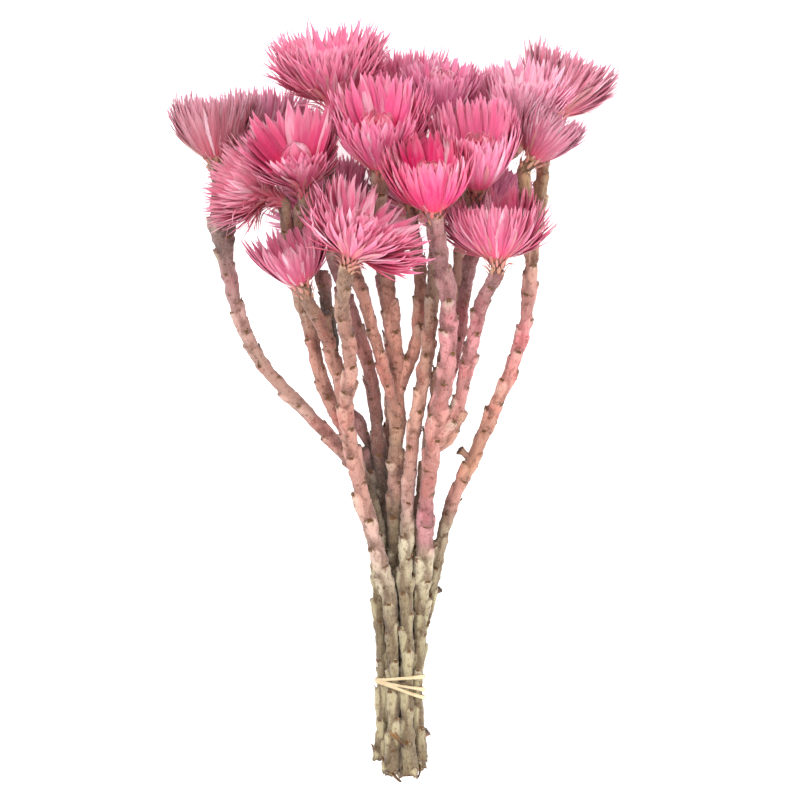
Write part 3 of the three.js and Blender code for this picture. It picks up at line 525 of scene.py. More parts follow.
class Wire:
    """A node's socket for use in sums, such as 1 - wire or wire * 2, in any tree of nodes."""

    def __init__(self, tree, socket=None):
        self.tree, self.socket = tree, socket

    def make(self, kind, settings=None, inputs=None, output=0):
        """Adds a node: its settings first, then the values or links of its sockets."""
        node = self.tree.nodes.new(kind)
        for name, value in (settings or {}).items():
            if name == "curve":
                points = node.mapping.curves[0].points
                while len(points) < len(value):
                    points.new(1, 1)
                for point, at in zip(points, value):
                    point.location = at
                node.mapping.update()
            else:
                setattr(node, name, value)
        for key, value in (inputs or {}).items():
            socket = node.inputs[key]
            if isinstance(value, Wire):
                self.tree.links.new(value.socket, socket)
            elif socket.type == "RGBA":
                socket.default_value = (*value[:3], 1)
            else:
                socket.default_value = value
        return Wire(self.tree, node.outputs[output])

    def is_list(self):
        return self.socket is not None and self.socket.type in ("VECTOR", "RGBA")

    def sum(self, operation, *terms):
        """A Math node, or a Vector Math node where one of the terms is a vector."""
        if any(isinstance(term, Wire) and term.is_list() for term in terms):
            terms = [term if isinstance(term, Wire) or np.ndim(term) else (term,) * 3 for term in terms]
            kind = "ShaderNodeVectorMath"
        else:
            kind = "ShaderNodeMath"
        return self.make(kind, {"operation": operation}, dict(enumerate(terms)))

    def __add__(self, other):
        return self.sum("ADD", self, other)

    __radd__ = __add__

    def __sub__(self, other):
        return self.sum("SUBTRACT", self, other)

    def __rsub__(self, other):
        return self.sum("SUBTRACT", other, self)

    def __mul__(self, other):
        return self.sum("MULTIPLY", self, other)

    __rmul__ = __mul__

    def __truediv__(self, other):
        return self.sum("DIVIDE", self, other)

    def __pow__(self, power):
        return self.sum("POWER", self, power)

    def part(self, number):
        """One number of a vector."""
        return self.make("ShaderNodeSeparateXYZ", None, {0: self}, number)

    def parts(self):
        return [self.part(number) for number in range(3)]

    def vector(self, *parts):
        return self.make("ShaderNodeCombineXYZ", None, dict(enumerate(parts)))

    def dot(self, other):
        return self.make("ShaderNodeVectorMath", {"operation": "DOT_PRODUCT"}, {0: self, 1: other}, "Value")

    def limit(self, low=0.0, high=1.0):
        return self.sum("MINIMUM", self.sum("MAXIMUM", self, low), high)

    def blend(self, first, second, share):
        """A colour between two others, by a share."""
        return self.make("ShaderNodeMix", {"data_type": "RGBA"}, {0: share, 6: first, 7: second}, 2)

    def between(self, low, high):
        """0 below low, 1 above high and smooth between them."""
        return self.make("ShaderNodeMapRange", {"interpolation_type": "SMOOTHSTEP"},
                         {0: self, 1: low, 2: high, 3: 0.0, 4: 1.0})

    def noise(self, place, scale, detail=2.0, rough=0.5):
        return self.make("ShaderNodeTexNoise", None,
                         {"Vector": place, "Scale": scale, "Detail": detail, "Roughness": rough}, 0)


def new_tree(name, sizes):
    """An empty geometry tree with a named input for each size, and its wire and input wires."""
    tree = bpy.data.node_groups.new(name, "GeometryNodeTree")
    tree.interface.new_socket("Geometry", in_out="INPUT", socket_type="NodeSocketGeometry")
    tree.interface.new_socket("Geometry", in_out="OUTPUT", socket_type="NodeSocketGeometry")
    for size, value in sizes.items():
        kind = {int: "Int", float: "Float", tuple: "Vector"}.get(type(value), "Material")
        socket = tree.interface.new_socket(size, in_out="INPUT", socket_type=f"NodeSocket{kind}")
        if value is not None:
            socket.default_value = value
    wire = Wire(tree)
    node = tree.nodes.new("NodeGroupInput")
    return wire, {socket.name: Wire(tree, socket) for socket in node.outputs if socket.name}


def reshaped(wire, geometry, position):
    """The geometry with its points moved to the position that a wire gives."""
    return wire.make("GeometryNodeSetPosition", None, {"Geometry": geometry, "Position": position})


# The table presses what is lower than 1 mm: its height becomes a share of itself, and a rest.
PRESSED_SHARE, PRESSED_REST = 0.2, 0.0008


def close_tree(wire, geometry, material):
    """The table holds each piece up, and each tree ends as plain faces that wear the material."""
    across, along, up = wire.make("GeometryNodeInputPosition").parts()
    held_up = wire.sum("MAXIMUM", up, up * PRESSED_SHARE + PRESSED_REST)
    geometry = reshaped(wire, geometry, wire.vector(across, along, held_up))
    plain = wire.make("GeometryNodeRealizeInstances", None, {0: geometry})
    dressed = wire.make("GeometryNodeSetMaterial", None, {"Geometry": plain, "Material": material})
    end = wire.tree.nodes.new("NodeGroupOutput")
    wire.tree.links.new(dressed.socket, end.inputs[0])


def named(wire, name, kind="FLOAT"):
    """What the points carry under a name."""
    return wire.make("GeometryNodeInputNamedAttribute", {"data_type": kind}, {"Name": name})


def stored(wire, geometry, name, value, kind="FLOAT"):
    """The geometry with a value that its points carry under a name."""
    return wire.make("GeometryNodeStoreNamedAttribute", {"data_type": kind, "domain": "POINT"},
                     {"Geometry": geometry, "Name": name, "Value": value})


def grow(name, points, edges, attributes, tree, **sizes):
    """A plain mesh made by a tree from points that carry attributes."""
    mesh = bpy.data.meshes.new(name)
    mesh.from_pydata(points.tolist(), edges, [])
    for key, values in attributes.items():
        kind, field = ("FLOAT", "value") if np.ndim(values) == 1 else ("FLOAT_VECTOR", "vector")
        layer = mesh.attributes.new(key, kind, "POINT")
        layer.data.foreach_set(field, np.asarray(values, np.float32).ravel())
    piece = bpy.data.objects.new(name, mesh)
    bpy.context.scene.collection.objects.link(piece)
    modifier = piece.modifiers.new(tree.name, "NODES")
    modifier.node_group = tree
    for item in tree.interface.items_tree:
        if item.in_out == "INPUT" and item.name in sizes:
            modifier[item.identifier] = sizes[item.name]
    depsgraph = bpy.context.evaluated_depsgraph_get()
    grown = bpy.data.meshes.new_from_object(
        piece.evaluated_get(depsgraph), preserve_all_data_layers=True, depsgraph=depsgraph)
    piece.modifiers.remove(modifier)
    piece.data = grown
    bpy.data.meshes.remove(mesh)
    grown.name = name
    return piece


GOLDEN_ANGLE = 2.39996
LEAF_PITCH = 5.4  # along the stem, from one leaf's scar to the next
LEAF_SPAN = 3  # of the pitch: how far a leaf's swollen base runs down the stem
SCAR_ARCH = 0.9  # of the pitch: how far a scar's ends lie below its middle
# In metres: the radii of a woolly hair, the halves of a leaf end's three sizes, how far it stands
# up and bends, and how far up a cut end is brown.
HAIR_FOOT, HAIR_TIP = 0.00006, 0.00001
LEAF_END_WIDE, LEAF_END_THICK, LEAF_END_LONG = 0.0004, 0.00018, 0.0013
LEAF_END_UP, LEAF_END_BENT = 0.0007, 0.0004
PITH_RIM = 0.0012


def leaf_places(wire, leaf, round_stem):
    """For each leaf base that can cover a place: how far below its scar, and how near its middle."""
    for ahead in (1, 2, 3):
        number = wire.sum("FLOOR", leaf) + ahead
        turn = number * GOLDEN_ANGLE
        facing = round_stem.dot(wire.vector(wire.sum("COSINE", turn), wire.sum("SINE", turn), 0.0))
        yield number, number - leaf - (1 - facing) * SCAR_ARCH, facing


def leaf_base(wire, leaf, round_stem):
    """How far the leaf bases stand out: 1 at a scar's middle, 0 in the furrows between bases."""
    swell = 0.0
    for number, below, facing in leaf_places(wire, leaf, round_stem):
        run = (1 - below / LEAF_SPAN).limit()
        plump = wire.noise(wire.vector(number * 5.3, 0.0, 0.0), 1.0, 0.0).between(0.25, 0.7) * 1.3
        base = run ** 0.8 * facing.between(0.85 - run * 0.75, 1.0) * below.between(-0.06, 0.02) * plump
        swell = wire.sum("MAXIMUM", base, swell)
    return swell


def stem_tree():
    """A felted stem round a line: leaf bases swell out along it and step back at their scars."""
    wire, size = new_tree("felted stem", {
        "Sides": 36, "Ring Step": 0.00055, "Leaf Pitch": LEAF_PITCH * MM, "Leaf Swell": 0.42, "Felt": 0.0005,
        "Fray": 0.003, "Hairs": 150000.0, "Hair Length": 0.0011, "Leaf Ends": 400000.0, "Material": None})
    line = wire.make("GeometryNodeMeshToCurve", None, {0: size["Geometry"]})
    line = wire.make("GeometryNodeCurveSplineType", {"spline_type": "CATMULL_ROM"}, {0: line})
    line = wire.make("GeometryNodeResampleCurve", {"mode": "LENGTH"}, {
        "Curve": line, "Length": size["Ring Step"]})
    along = wire.make("GeometryNodeSplineParameter", None, None, "Length")
    place = wire.make("GeometryNodeInputPosition")
    uneven = wire.noise(wire.vector(along, named(wire, "first_leaf"), 0.0), 70.0, 0.0) - 0.5
    line = stored(wire, line, "leaf",
                  along / size["Leaf Pitch"] + named(wire, "first_leaf") + uneven * 1.6)
    line = stored(wire, line, "along", along)
    line = stored(wire, line, "ahead", wire.make("GeometryNodeInputTangent"), "FLOAT_VECTOR")
    ring = wire.make("GeometryNodeCurvePrimitiveCircle", None, {"Resolution": size["Sides"], "Radius": 1.0})
    ring = stored(wire, ring, "round", place, "FLOAT_VECTOR")
    felt = wire.make("GeometryNodeCurveToMesh", None, {
        "Curve": line, "Profile Curve": ring, "Scale": named(wire, "girth"), "Fill Caps": True})
    round_stem, along = named(wire, "round", "FLOAT_VECTOR"), named(wire, "along")
    ahead = named(wire, "ahead", "FLOAT_VECTOR")
    leaf, old = named(wire, "leaf"), named(wire, "old")
    swell = leaf_base(wire, leaf, round_stem)
    wool = wire.noise(place, 330.0, 3.0, 0.65) - 0.5
    lumps = wire.noise(place, 120.0, 1.0) - 0.5
    rib_place = wire.vector(round_stem.part(0) * 2.2, round_stem.part(1) * 2.2, along * 60)
    ribs = wire.noise(rib_place, 1.6, 2.0) - 0.5
    knobs = wire.noise(place, 260.0, 1.0) - 0.5
    lift = (named(wire, "girth") * (
        swell * size["Leaf Swell"] - 0.12 + lumps * 0.7 + knobs * 0.3 + ribs * (0.4 + old * 0.6))
            + wool * size["Felt"] * 2)
    ragged = wire.noise(round_stem + named(wire, "first_leaf"), 2.5, 2.0) - 0.3
    fray = ahead * ((1 - along / size["Fray"]).limit() * ragged * size["Fray"] * 2)
    felt = wire.make("GeometryNodeSetPosition", None, {
        "Geometry": felt, "Offset": wire.make("GeometryNodeInputNormal") * lift + fray})
    felt = stored(wire, felt, "swell", swell)
    felt = stored(wire, felt, "bark", (1 - along / PITH_RIM).limit())

    # Woolly hairs all over, and the dry end of a leaf left at some of the scars.
    number, below, facing = next(leaf_places(wire, leaf, round_stem))
    kept = wire.noise(wire.vector(number * 3.7, named(wire, "first_leaf"), 0.0), 1.0, 0.0).between(0.5, 0.6)
    scar = facing.between(0.8, 0.95) * (1 - wire.sum("ABSOLUTE", below).between(0.0, 0.12)) * kept
    pieces = [felt]
    hair = wire.make("GeometryNodeMeshCone", None, {
        "Vertices": 3, "Side Segments": 1, "Radius Top": HAIR_TIP, "Radius Bottom": HAIR_FOOT,
        "Depth": size["Hair Length"]}, "Mesh")
    leaf_end = wire.make("GeometryNodeMeshUVSphere", None, {"Segments": 6, "Rings": 6, "Radius": 1.0}, "Mesh")
    bent = place.part(2) * place.part(2) * LEAF_END_BENT
    leaf_end = reshaped(wire, leaf_end, wire.vector(
        place.part(0) * LEAF_END_WIDE, place.part(1) * LEAF_END_THICK + bent,
        place.part(2) * LEAF_END_LONG + LEAF_END_UP))
    for blank, density, seed, lean, bark in (
            (hair, size["Hairs"], 3, 0.9, 0.0), (leaf_end, size["Leaf Ends"] * scar, 5, 2.5, 1.0)):
        spread = wire.make("GeometryNodeDistributePointsOnFaces", None, {
            "Mesh": felt, "Density": density, "Seed": seed}, "Points")
        node = spread.socket.node
        stray = wire.make("FunctionNodeRandomValue", {"data_type": "FLOAT_VECTOR"}, {
            0: (-1, -1, -1), 1: (1, 1, 1), "Seed": seed + 1}, 0)
        aim = Wire(wire.tree, node.outputs["Normal"]) + ahead * lean + stray * 0.7
        turned = wire.make("FunctionNodeAlignRotationToVector", {"axis": "Z"}, {
            "Rotation": Wire(wire.tree, node.outputs["Rotation"]), "Vector": aim})
        length = wire.make("FunctionNodeRandomValue", {"data_type": "FLOAT"}, {
            2: 0.5, 3: 1.3, "Seed": seed + 2}, 1)
        grown = wire.make("GeometryNodeInstanceOnPoints", None, {
            "Points": spread, "Instance": blank, "Rotation": turned, "Scale": length})
        grown = wire.make("GeometryNodeRealizeInstances", None, {0: grown})
        pieces.append(stored(wire, grown, "bark", bark))
    whole = wire.make("GeometryNodeJoinGeometry")
    for piece in pieces:
        wire.tree.links.new(piece.socket, whole.socket.node.inputs[0])
    close_tree(wire, whole, size["Material"])
    return wire.tree


def new_material(name):
    """An empty material, its wire and a way to finish it with a surface."""
    material = bpy.data.materials.new(name)
    material.use_nodes = True
    material.node_tree.nodes.clear()
    wire = Wire(material.node_tree)

    def finish(colour, roughness, bump, depth, **constants):
        normal = wire.make("ShaderNodeBump", None, {"Strength": 1.0, "Distance": depth, "Height": bump})
        surface = wire.make("ShaderNodeBsdfPrincipled", None, {
            "Base Color": colour, "Roughness": roughness, "Normal": normal, **constants})
        end = material.node_tree.nodes.new("ShaderNodeOutputMaterial")
        material.node_tree.links.new(surface.socket, end.inputs["Surface"])
        return material

    return wire, finish


def attribute(wire, name, output="Vector"):
    """What the faces carry under a name, for a material."""
    return wire.make("ShaderNodeAttribute", {"attribute_name": name}, None, output)


SCAR_BROWN = plain_colour("#553519")
SCAR_GOLD = plain_colour("#a67d3f")
PALE_WOOL = plain_colour("#dccdb8")
HAIR_COLOUR = (0.66, 0.57, 0.49)
FELT_TINT = (0.71, 0.65, 0.6)  # dye is duller in felt than in its plain colour


def felt_material():
    """Dyed felt: pale wool towards each scar, a brown arch at it, painted shade in the furrows between leaf
    bases, and darker cracks.
    """
    wire, finish = new_material("stem_felt")
    place = wire.make("ShaderNodeTexCoord", None, None, "Object")
    dyed = attribute(wire, "dyed", "Color")
    round_stem = attribute(wire, "round")
    leaf, old, bark, swell = (attribute(wire, name, "Fac") for name in ("leaf", "old", "bark", "swell"))
    _, below, facing = next(leaf_places(wire, leaf, round_stem))
    wobble = wire.noise(place, 700.0, 2.0) - 0.5
    clear = wire.noise(place, 190.0, 0.0).between(0.35, 0.6)
    edge = 1 - wire.sum("ABSOLUTE", below + wobble * 0.35 - 0.02).between(0.02, 0.13)
    spot = 1 - wire.sum("ABSOLUTE", below - 0.1).between(0.08, 0.25)
    mark = wire.sum("MAXIMUM", edge * (facing + wobble * 0.3).between(0.6, 0.95) * clear * 0.85,
                    spot * (facing + wobble * 0.15).between(0.93, 0.98))
    patches = wire.noise(place, 130.0, 3.0, 0.6)
    stains = wire.noise(place, 60.0, 3.0, 0.6)
    hairs = wire.noise(place, 1500.0, 3.0, 0.7)
    specks = wire.noise(place, 420.0, 2.0)
    along = attribute(wire, "along", "Fac")
    crack_place = wire.vector(round_stem.part(0) * 4, round_stem.part(1) * 4, along * 190)
    cracks = wire.noise(crack_place, 1.7, 4.0, 0.65)
    colour = dyed * FELT_TINT
    worn = swell.between(0.5, 0.95) * patches.between(0.35, 0.6)
    colour = wire.blend(colour, PALE_WOOL * 0.95, worn * (0.6 - old * 0.2))
    for darker, share in (
            ((0.95, 0.62, 0.66), stains.between(0.5, 0.7) * (0.7 - old * 0.7)),
            ((0.42, 0.32, 0.27), patches.between(0.48, 0.68) * (0.75 - old * 0.1)),
            # painted shade: the furrows between the leaf bases are darker, more so on the old bark low in the
            # bundle
            ((0.3, 0.2, 0.16), (1 - swell.between(0.0, 0.4)) * (0.45 + old * 0.35)),
            ((0.45, 0.35, 0.28), specks.between(0.56, 0.68) * 0.7),
            ((0.5, 0.4, 0.34), cracks.between(0.52, 0.66) * (0.4 + old * 0.3))):
        colour = wire.blend(colour, colour * darker, share)
    colour = wire.blend(colour, HAIR_COLOUR, hairs.between(0.5, 0.8) * 0.35)
    scar = wire.blend(SCAR_BROWN, SCAR_GOLD, hairs.between(0.5, 0.8))
    colour = wire.blend(colour, scar, mark)
    colour = wire.blend(colour, scar * (0.9, 0.75, 0.7), bark * 0.8)
    relief = hairs * 0.5 + patches * 0.4 - mark * 0.5 - cracks * 0.8
    return finish(colour, 0.95 - mark * 0.2, relief, 0.0008,
                  **{"Sheen Weight": 0.2, "Sheen Roughness": 0.5, "Specular IOR Level": 0.2})


WOOLLY = 40, 100  # the bark is old and grey up to the first, and woolly from the second
STEM_TURN, RAIL_TURN = 3.0, 5.37  # leaves between the first leaves of two stems and of two rails

stem_felt = felt_material()
felted_stem = stem_tree()
for stem_number, name in enumerate(STEMS):
    rails = stem_rails(name)
    stem = grow(name + "_felt", *joined(rails), {
        "girth": np.concatenate([rail["radii"] for rail in rails]) * MM,
        "dyed": np.vstack([rail["colours"] for rail in rails]),
        "old": 1 - smooth_step(*WOOLLY, np.concatenate([rail["points"][:, 1] for rail in rails])),
        "first_leaf": np.concatenate([
            np.full(len(rail["points"]), STEM_TURN * stem_number + RAIL_TURN * k)
            for k, rail in enumerate(rails)]),
    }, felted_stem, Material=stem_felt)
    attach(stem, "root")
    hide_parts(name)

# ---- Flower heads ----
# Each head is a woody receptacle that carries three to six hundred dry bracts in a spiral: short
# tan scales low down, long pointed satin bracts above them, and a crown of short ones that bend
# in over the small florets. The bracts are papery, striped along their length and dyed pink.

BRACT_LENGTH = 27
# A bract's place in the spiral runs from 0, low on the outside, to 1 beside the florets. At each
# place: its root's distance from the axis and height, its length, and its lean at root and tip.
SPIRAL = (0, 0.25, 0.5, 0.75, 1)
ROOT_OUT = (4.6, 6.2, 7.2, 7.4, 6.8)
ROOT_UP = (1.8, 3.5, 6, 9, 12)
LENGTHS = (0.75, 1, 1.12, 1.06, 1.02)
ROOT_LEAN = (1.25, 1.15, 1, 0.85, 0.7)
TIP_LEAN = (0.95, 0.8, 0.68, 0.58, 0.48)
# The upper side of each head was pressed in the bunch: it opens less and its inner bracts are short.
UPPER_CLOSES, UPPER_SHORTER = 0.62, 0.45
BOWL, BOWLED = 0.45, 1.45  # a head that opens less than the second number is a rounder bowl
DISC_HEIGHT = 17.5

SIDES = 22  # the directions in which a head's room is measured
HEAD_MARGIN = -1.2  # bracts of two heads reach a little into each other
STEM_MARGIN = 0.9
TABLE_MARGIN = 0.3
OWN_STEM = 15  # of a head's own stem, next to the foot, may touch its bracts
NEARBY = 50  # stems further than this from a head's bulk are out of its reach
TEST_PLACES = (0.05, 0.45, 0.9)  # in the spiral, of the bracts that are tested, and shares along them
TEST_SHARES = np.array([0.25, 0.4, 0.58, 0.75, 0.88, 1])
STRETCHES = (1, 0.92, 0.84, 0.76, 0.68, 0.6, 0.52)  # a side's lengths and openings, tried in turn
OPENINGS = np.arange(1, 0.24, -0.03)
LEAST_FIT = 0.24, 0.45  # the opening and length of a side that finds no room
BLOOM_SEED = 101
LOW_BRACTS = 0.15  # the place up to which bracts are narrow
BUD_LENGTH, BUD_LEANS = 15, (0.15, -1.15)  # of inner bracts that still close over the florets
SCALE_FOOT, SCALE_RISE = (3.4, -6), (1.6, 9)  # out and up: the lowest scale, and on to the highest
CROWN_OUT, FLORETS_OUT = 5.6, 5  # how far from the axis the crown stands and the florets reach
FLORETS_SUNK = 1.5
LEAST_BEND = 0.02  # a bract's line is an arc, so each half has to bend a little


def upper_share(turn):
    """1 on a head's upper side, 0 on its lower half."""
    return np.maximum(0, np.sin(turn))


def bract_root(head, place):
    """The root's distance from the head's axis, and its height."""
    return (head["size"] * np.interp(place, SPIRAL, ROOT_OUT),
            head["size"] * np.interp(place, SPIRAL, ROOT_UP))


def bract_length(head, turn, place, stretch):
    """A bract's length: less on the upper side, above all beside the florets."""
    return (BRACT_LENGTH * head["size"] * stretch * np.interp(place, SPIRAL, LENGTHS)
            * (1 - UPPER_SHORTER * place * (0.6 + 0.9 * place ** 4) * upper_share(turn)))


def bract_leans(head, place, opens):
    """A bract's leans at its root and tip: the heads that open less are rounder bowls."""
    bowl = BOWL * max(0, BOWLED - head["opens"])
    return (opens * np.interp(place, SPIRAL, ROOT_LEAN) + bowl,
            opens * np.interp(place, SPIRAL, TIP_LEAN) - bowl)


def arc_points(head, turn, place, opens, stretch, shares):
    """Points on the line of a bract at a place in the spiral: it bends evenly from root to tip."""
    root_out, root_up = bract_root(head, place)
    length = bract_length(head, turn, place, stretch)
    start, end = bract_leans(head, place, opens)
    now = start + (end - start) * shares
    out = root_out + length * (math.cos(start) - np.cos(now)) / (end - start)
    up = root_up + length * (np.sin(now) - math.sin(start)) / (end - start)
    return (head["base"] + np.outer(up, head["axis"]) + np.outer(out * np.cos(turn), head["u"])
            + np.outer(out * np.sin(turn), head["v"]))


def room_for(head):
    """What a head's bracts keep clear of: the other heads' halves, the stems and the table."""
    others = np.array([h["bulk"] for h in heads.values() if h is not head])
    normals = others - head["bulk"]
    half = np.linalg.norm(normals, axis=1) / 2
    normals /= 2 * half[:, None]
    limits = normals @ head["bulk"] + half - HEAD_MARGIN
    point, radius = settled["point"], settled["radius"]
    behind = (point - head["base"]) @ head["axis"]
    own = ((settled["bloom"] == head["name"]) & (behind < 0)
           & (np.linalg.norm(point - head["base"], axis=1) < OWN_STEM))
    near = ~own & (np.linalg.norm(point - head["bulk"], axis=1) < NEARBY)
    return normals, limits, point[near], radius[near]


def is_clear(points, room):
    """Whether the points keep clear of the table, the other heads' halves and the stems."""
    normals, limits, stems, radii = room
    if points[:, 2].min() < TABLE_MARGIN or (points @ normals.T > limits).any():
        return False
    return (np.linalg.norm(points[:, None] - stems, axis=2) > radii + STEM_MARGIN).all()


def side_room(head, turn, opens, stretch, room):
    """Whether a side's bracts clear everything, and the lines beside them that meet at the tips."""
    spread = math.pi / 11 * np.minimum(1, (1 - TEST_SHARES) / 0.6)
    return all(
        is_clear(arc_points(head, turn + aside * spread, place, opens, stretch, TEST_SHARES), room)
        for place in TEST_PLACES for aside in (-1, 0, 1))


def fit_sides(head, seed):
    """How far the head opens and how long its bracts are, in each direction round it."""
    draws = seeded_random(seed)
    room = room_for(head)
    turns = np.arange(SIDES) * 2 * math.pi / SIDES
    fits = []
    for turn in turns:
        wanted = head["opens"] * (1 + 0.08 * (next(draws) - 0.5))
        wanted *= 1 - UPPER_CLOSES * upper_share(turn)
        share, stretch = next(
            ((share, stretch) for stretch in STRETCHES for share in OPENINGS
             if side_room(head, turn, wanted * share, stretch, room)), LEAST_FIT)
        fits.append((wanted * share, stretch))
    return turns, np.array(fits)


def drawn_in(look, turn):
    """Where something held a head's side in, its bracts open less."""
    return 1 - look["drawn_in"] * max(0, *(math.cos(turn - way) for way in look["drawn"]))


def bloom_points(head, look, seed):
    """The attributes of each bract of a head: where it stands, how it bends, its form and tone."""
    rng = np.random.RandomState(seed)
    turns, fits = fit_sides(head, seed)
    size = head["size"]
    rows = {key: [] for key in ("turn", "root", "leans", "form", "twist", "tone", "dry")}

    def add(**row):
        for key, value in row.items():
            rows[key].append(value)

    def side_fit(turn):
        """How far the head opens at a turn, and how much of their length its bracts have."""
        return (np.interp(turn % (2 * math.pi), [*turns, 2 * math.pi], [*fits[:, n], fits[0, n]])
                for n in (0, 1))

    # The long bracts, from the lowest in to the florets.
    for k in range(look["bracts"]):
        place = k / look["bracts"]
        turn = k * GOLDEN_ANGLE + rng.normal(0, 0.05)
        opens, stretch = side_fit(turn)
        length = bract_length(head, turn, place, stretch)
        length = length * (1 - look["front_short"] * upper_share(turn)) * look["reach"]
        start, end = bract_leans(head, place, opens * drawn_in(look, turn))
        end += 3 * look["droop"] * max(0, 1 - 4 * place)
        if place > look["closes"]:
            (start, end), length = BUD_LEANS, BUD_LENGTH * size
        width = rng.uniform(0.3, 0.9) if place < LOW_BRACTS else rng.uniform(0.75, 1.15)
        stray = rng.normal(0, look["unruly"]) * (1 + 2 * max(0, 1 - 8 * place))
        knee = start + (end - start) * KNEE
        add(turn=turn, root=(*bract_root(head, place), 0),
            leans=(start, knee + 0.35 * stray, end + 1.6 * stray - look["hook"]),
            form=(length * (1 + rng.normal(0, 0.05)), look["width"] / 2 * size * width, 0.1),
            twist=(rng.normal(0, 3 * look["unruly"]), rng.normal(0, 0.9 * look["unruly"]),
                   look["broad"]),
            # the tone's last number is a bract's chance of a painted satin highlight; the look's highlight
            # share raises it on the inner bracts
            tone=(place, rng.uniform(),
                  min(1, rng.uniform() + look["highlight_share"] * max(0, 4 * place - 3))),
            dry=max(0, 0.5 - 6 * place))
    # The tan scales round the foot.
    for k in range(look["scales"]):
        place = k / look["scales"]
        turn = k * GOLDEN_ANGLE
        opens = next(side_fit(turn)) * rng.uniform(0.8, 1.3)
        tip_lean = opens * rng.uniform(0.7, 1.5) + 2 * look["droop"]
        length = size * (4 + 7 * place) * rng.uniform(0.7, 1.3) * look["scale_reach"]
        add(turn=turn, root=(SCALE_FOOT[0] + SCALE_RISE[0] * place, SCALE_FOOT[1] + SCALE_RISE[1] * place, 0),
            leans=(0.5 * opens, opens + look["droop"], tip_lean),
            form=(length, rng.uniform(0.6, 1.1), 0.09),
            twist=(rng.normal(0, 0.8), rng.normal(0, 0.2), 0),
            tone=(0, rng.uniform(), rng.uniform()), dry=(1 - 0.7 * place) / look["scale_reach"] ** 2)
    # The crown of short bracts that bend in, and the florets inside it.
    for k in range(look["crown"]):
        lean = look["crown_lean"] + rng.normal(0, 0.15)
        add(turn=k * GOLDEN_ANGLE, root=(CROWN_OUT * size, DISC_HEIGHT * size + look["crown_up"], 0),
            leans=(lean, lean - 0.7, lean - 2 + rng.normal(0, 0.4)),
            form=(rng.uniform(5.5, 9) * size, rng.uniform(0.8, 1.8), 0.1),
            twist=(rng.normal(0, 0.5), rng.normal(0, 0.1), 0), tone=(1, rng.uniform(), 0.9), dry=0.15)
    for k in range(look["florets"]):
        share = (k + 0.5) / look["florets"]
        lean = rng.uniform(-0.3, 0.5)
        out, up = FLORETS_OUT * size * math.sqrt(share), DISC_HEIGHT * size - FLORETS_SUNK
        add(turn=k * GOLDEN_ANGLE, root=(out, up, 0), leans=(lean, lean + 0.1, lean + 0.5),
            form=(rng.uniform(2.5, 4.5), rng.uniform(0.3, 0.6), 0.15),
            twist=(rng.normal(0, 1), 0, 0), tone=(1, rng.uniform(), rng.uniform()), dry=0.7)
    attributes = {key: np.array(values, float) for key, values in rows.items()}
    attributes["root"] *= MM
    attributes["form"] *= MM
    leans = attributes["leans"]
    for k in (1, 2):
        straight = np.abs(leans[:, k] - leans[:, k - 1]) < LEAST_BEND
        leans[straight, k] = leans[straight, k - 1] + LEAST_BEND
    return attributes


KNEE = 0.6  # of a bract's length, where its bend changes
RIM_ANGLE = 1.2  # a bract's edges are sharp from this angle on
# Half widths of a fine and a broad bract, and of the receptacle, from foot to tip.
FINE_OUTLINE = [(0, 0.5), (0.2, 0.85), (0.4, 1), (0.58, 0.76), (0.74, 0.38), (0.88, 0.14), (1, 0.02)]
BROAD_OUTLINE = [(0, 0.4), (0.25, 0.7), (0.5, 1), (0.7, 0.9), (0.86, 0.52), (0.95, 0.2), (1, 0.03)]
RECEPTACLE_OUTLINE = [(0, 0.45), (0.15, 0.62), (0.35, 0.88), (0.55, 1), (0.85, 0.9), (0.96, 0.7), (1, 0.02)]


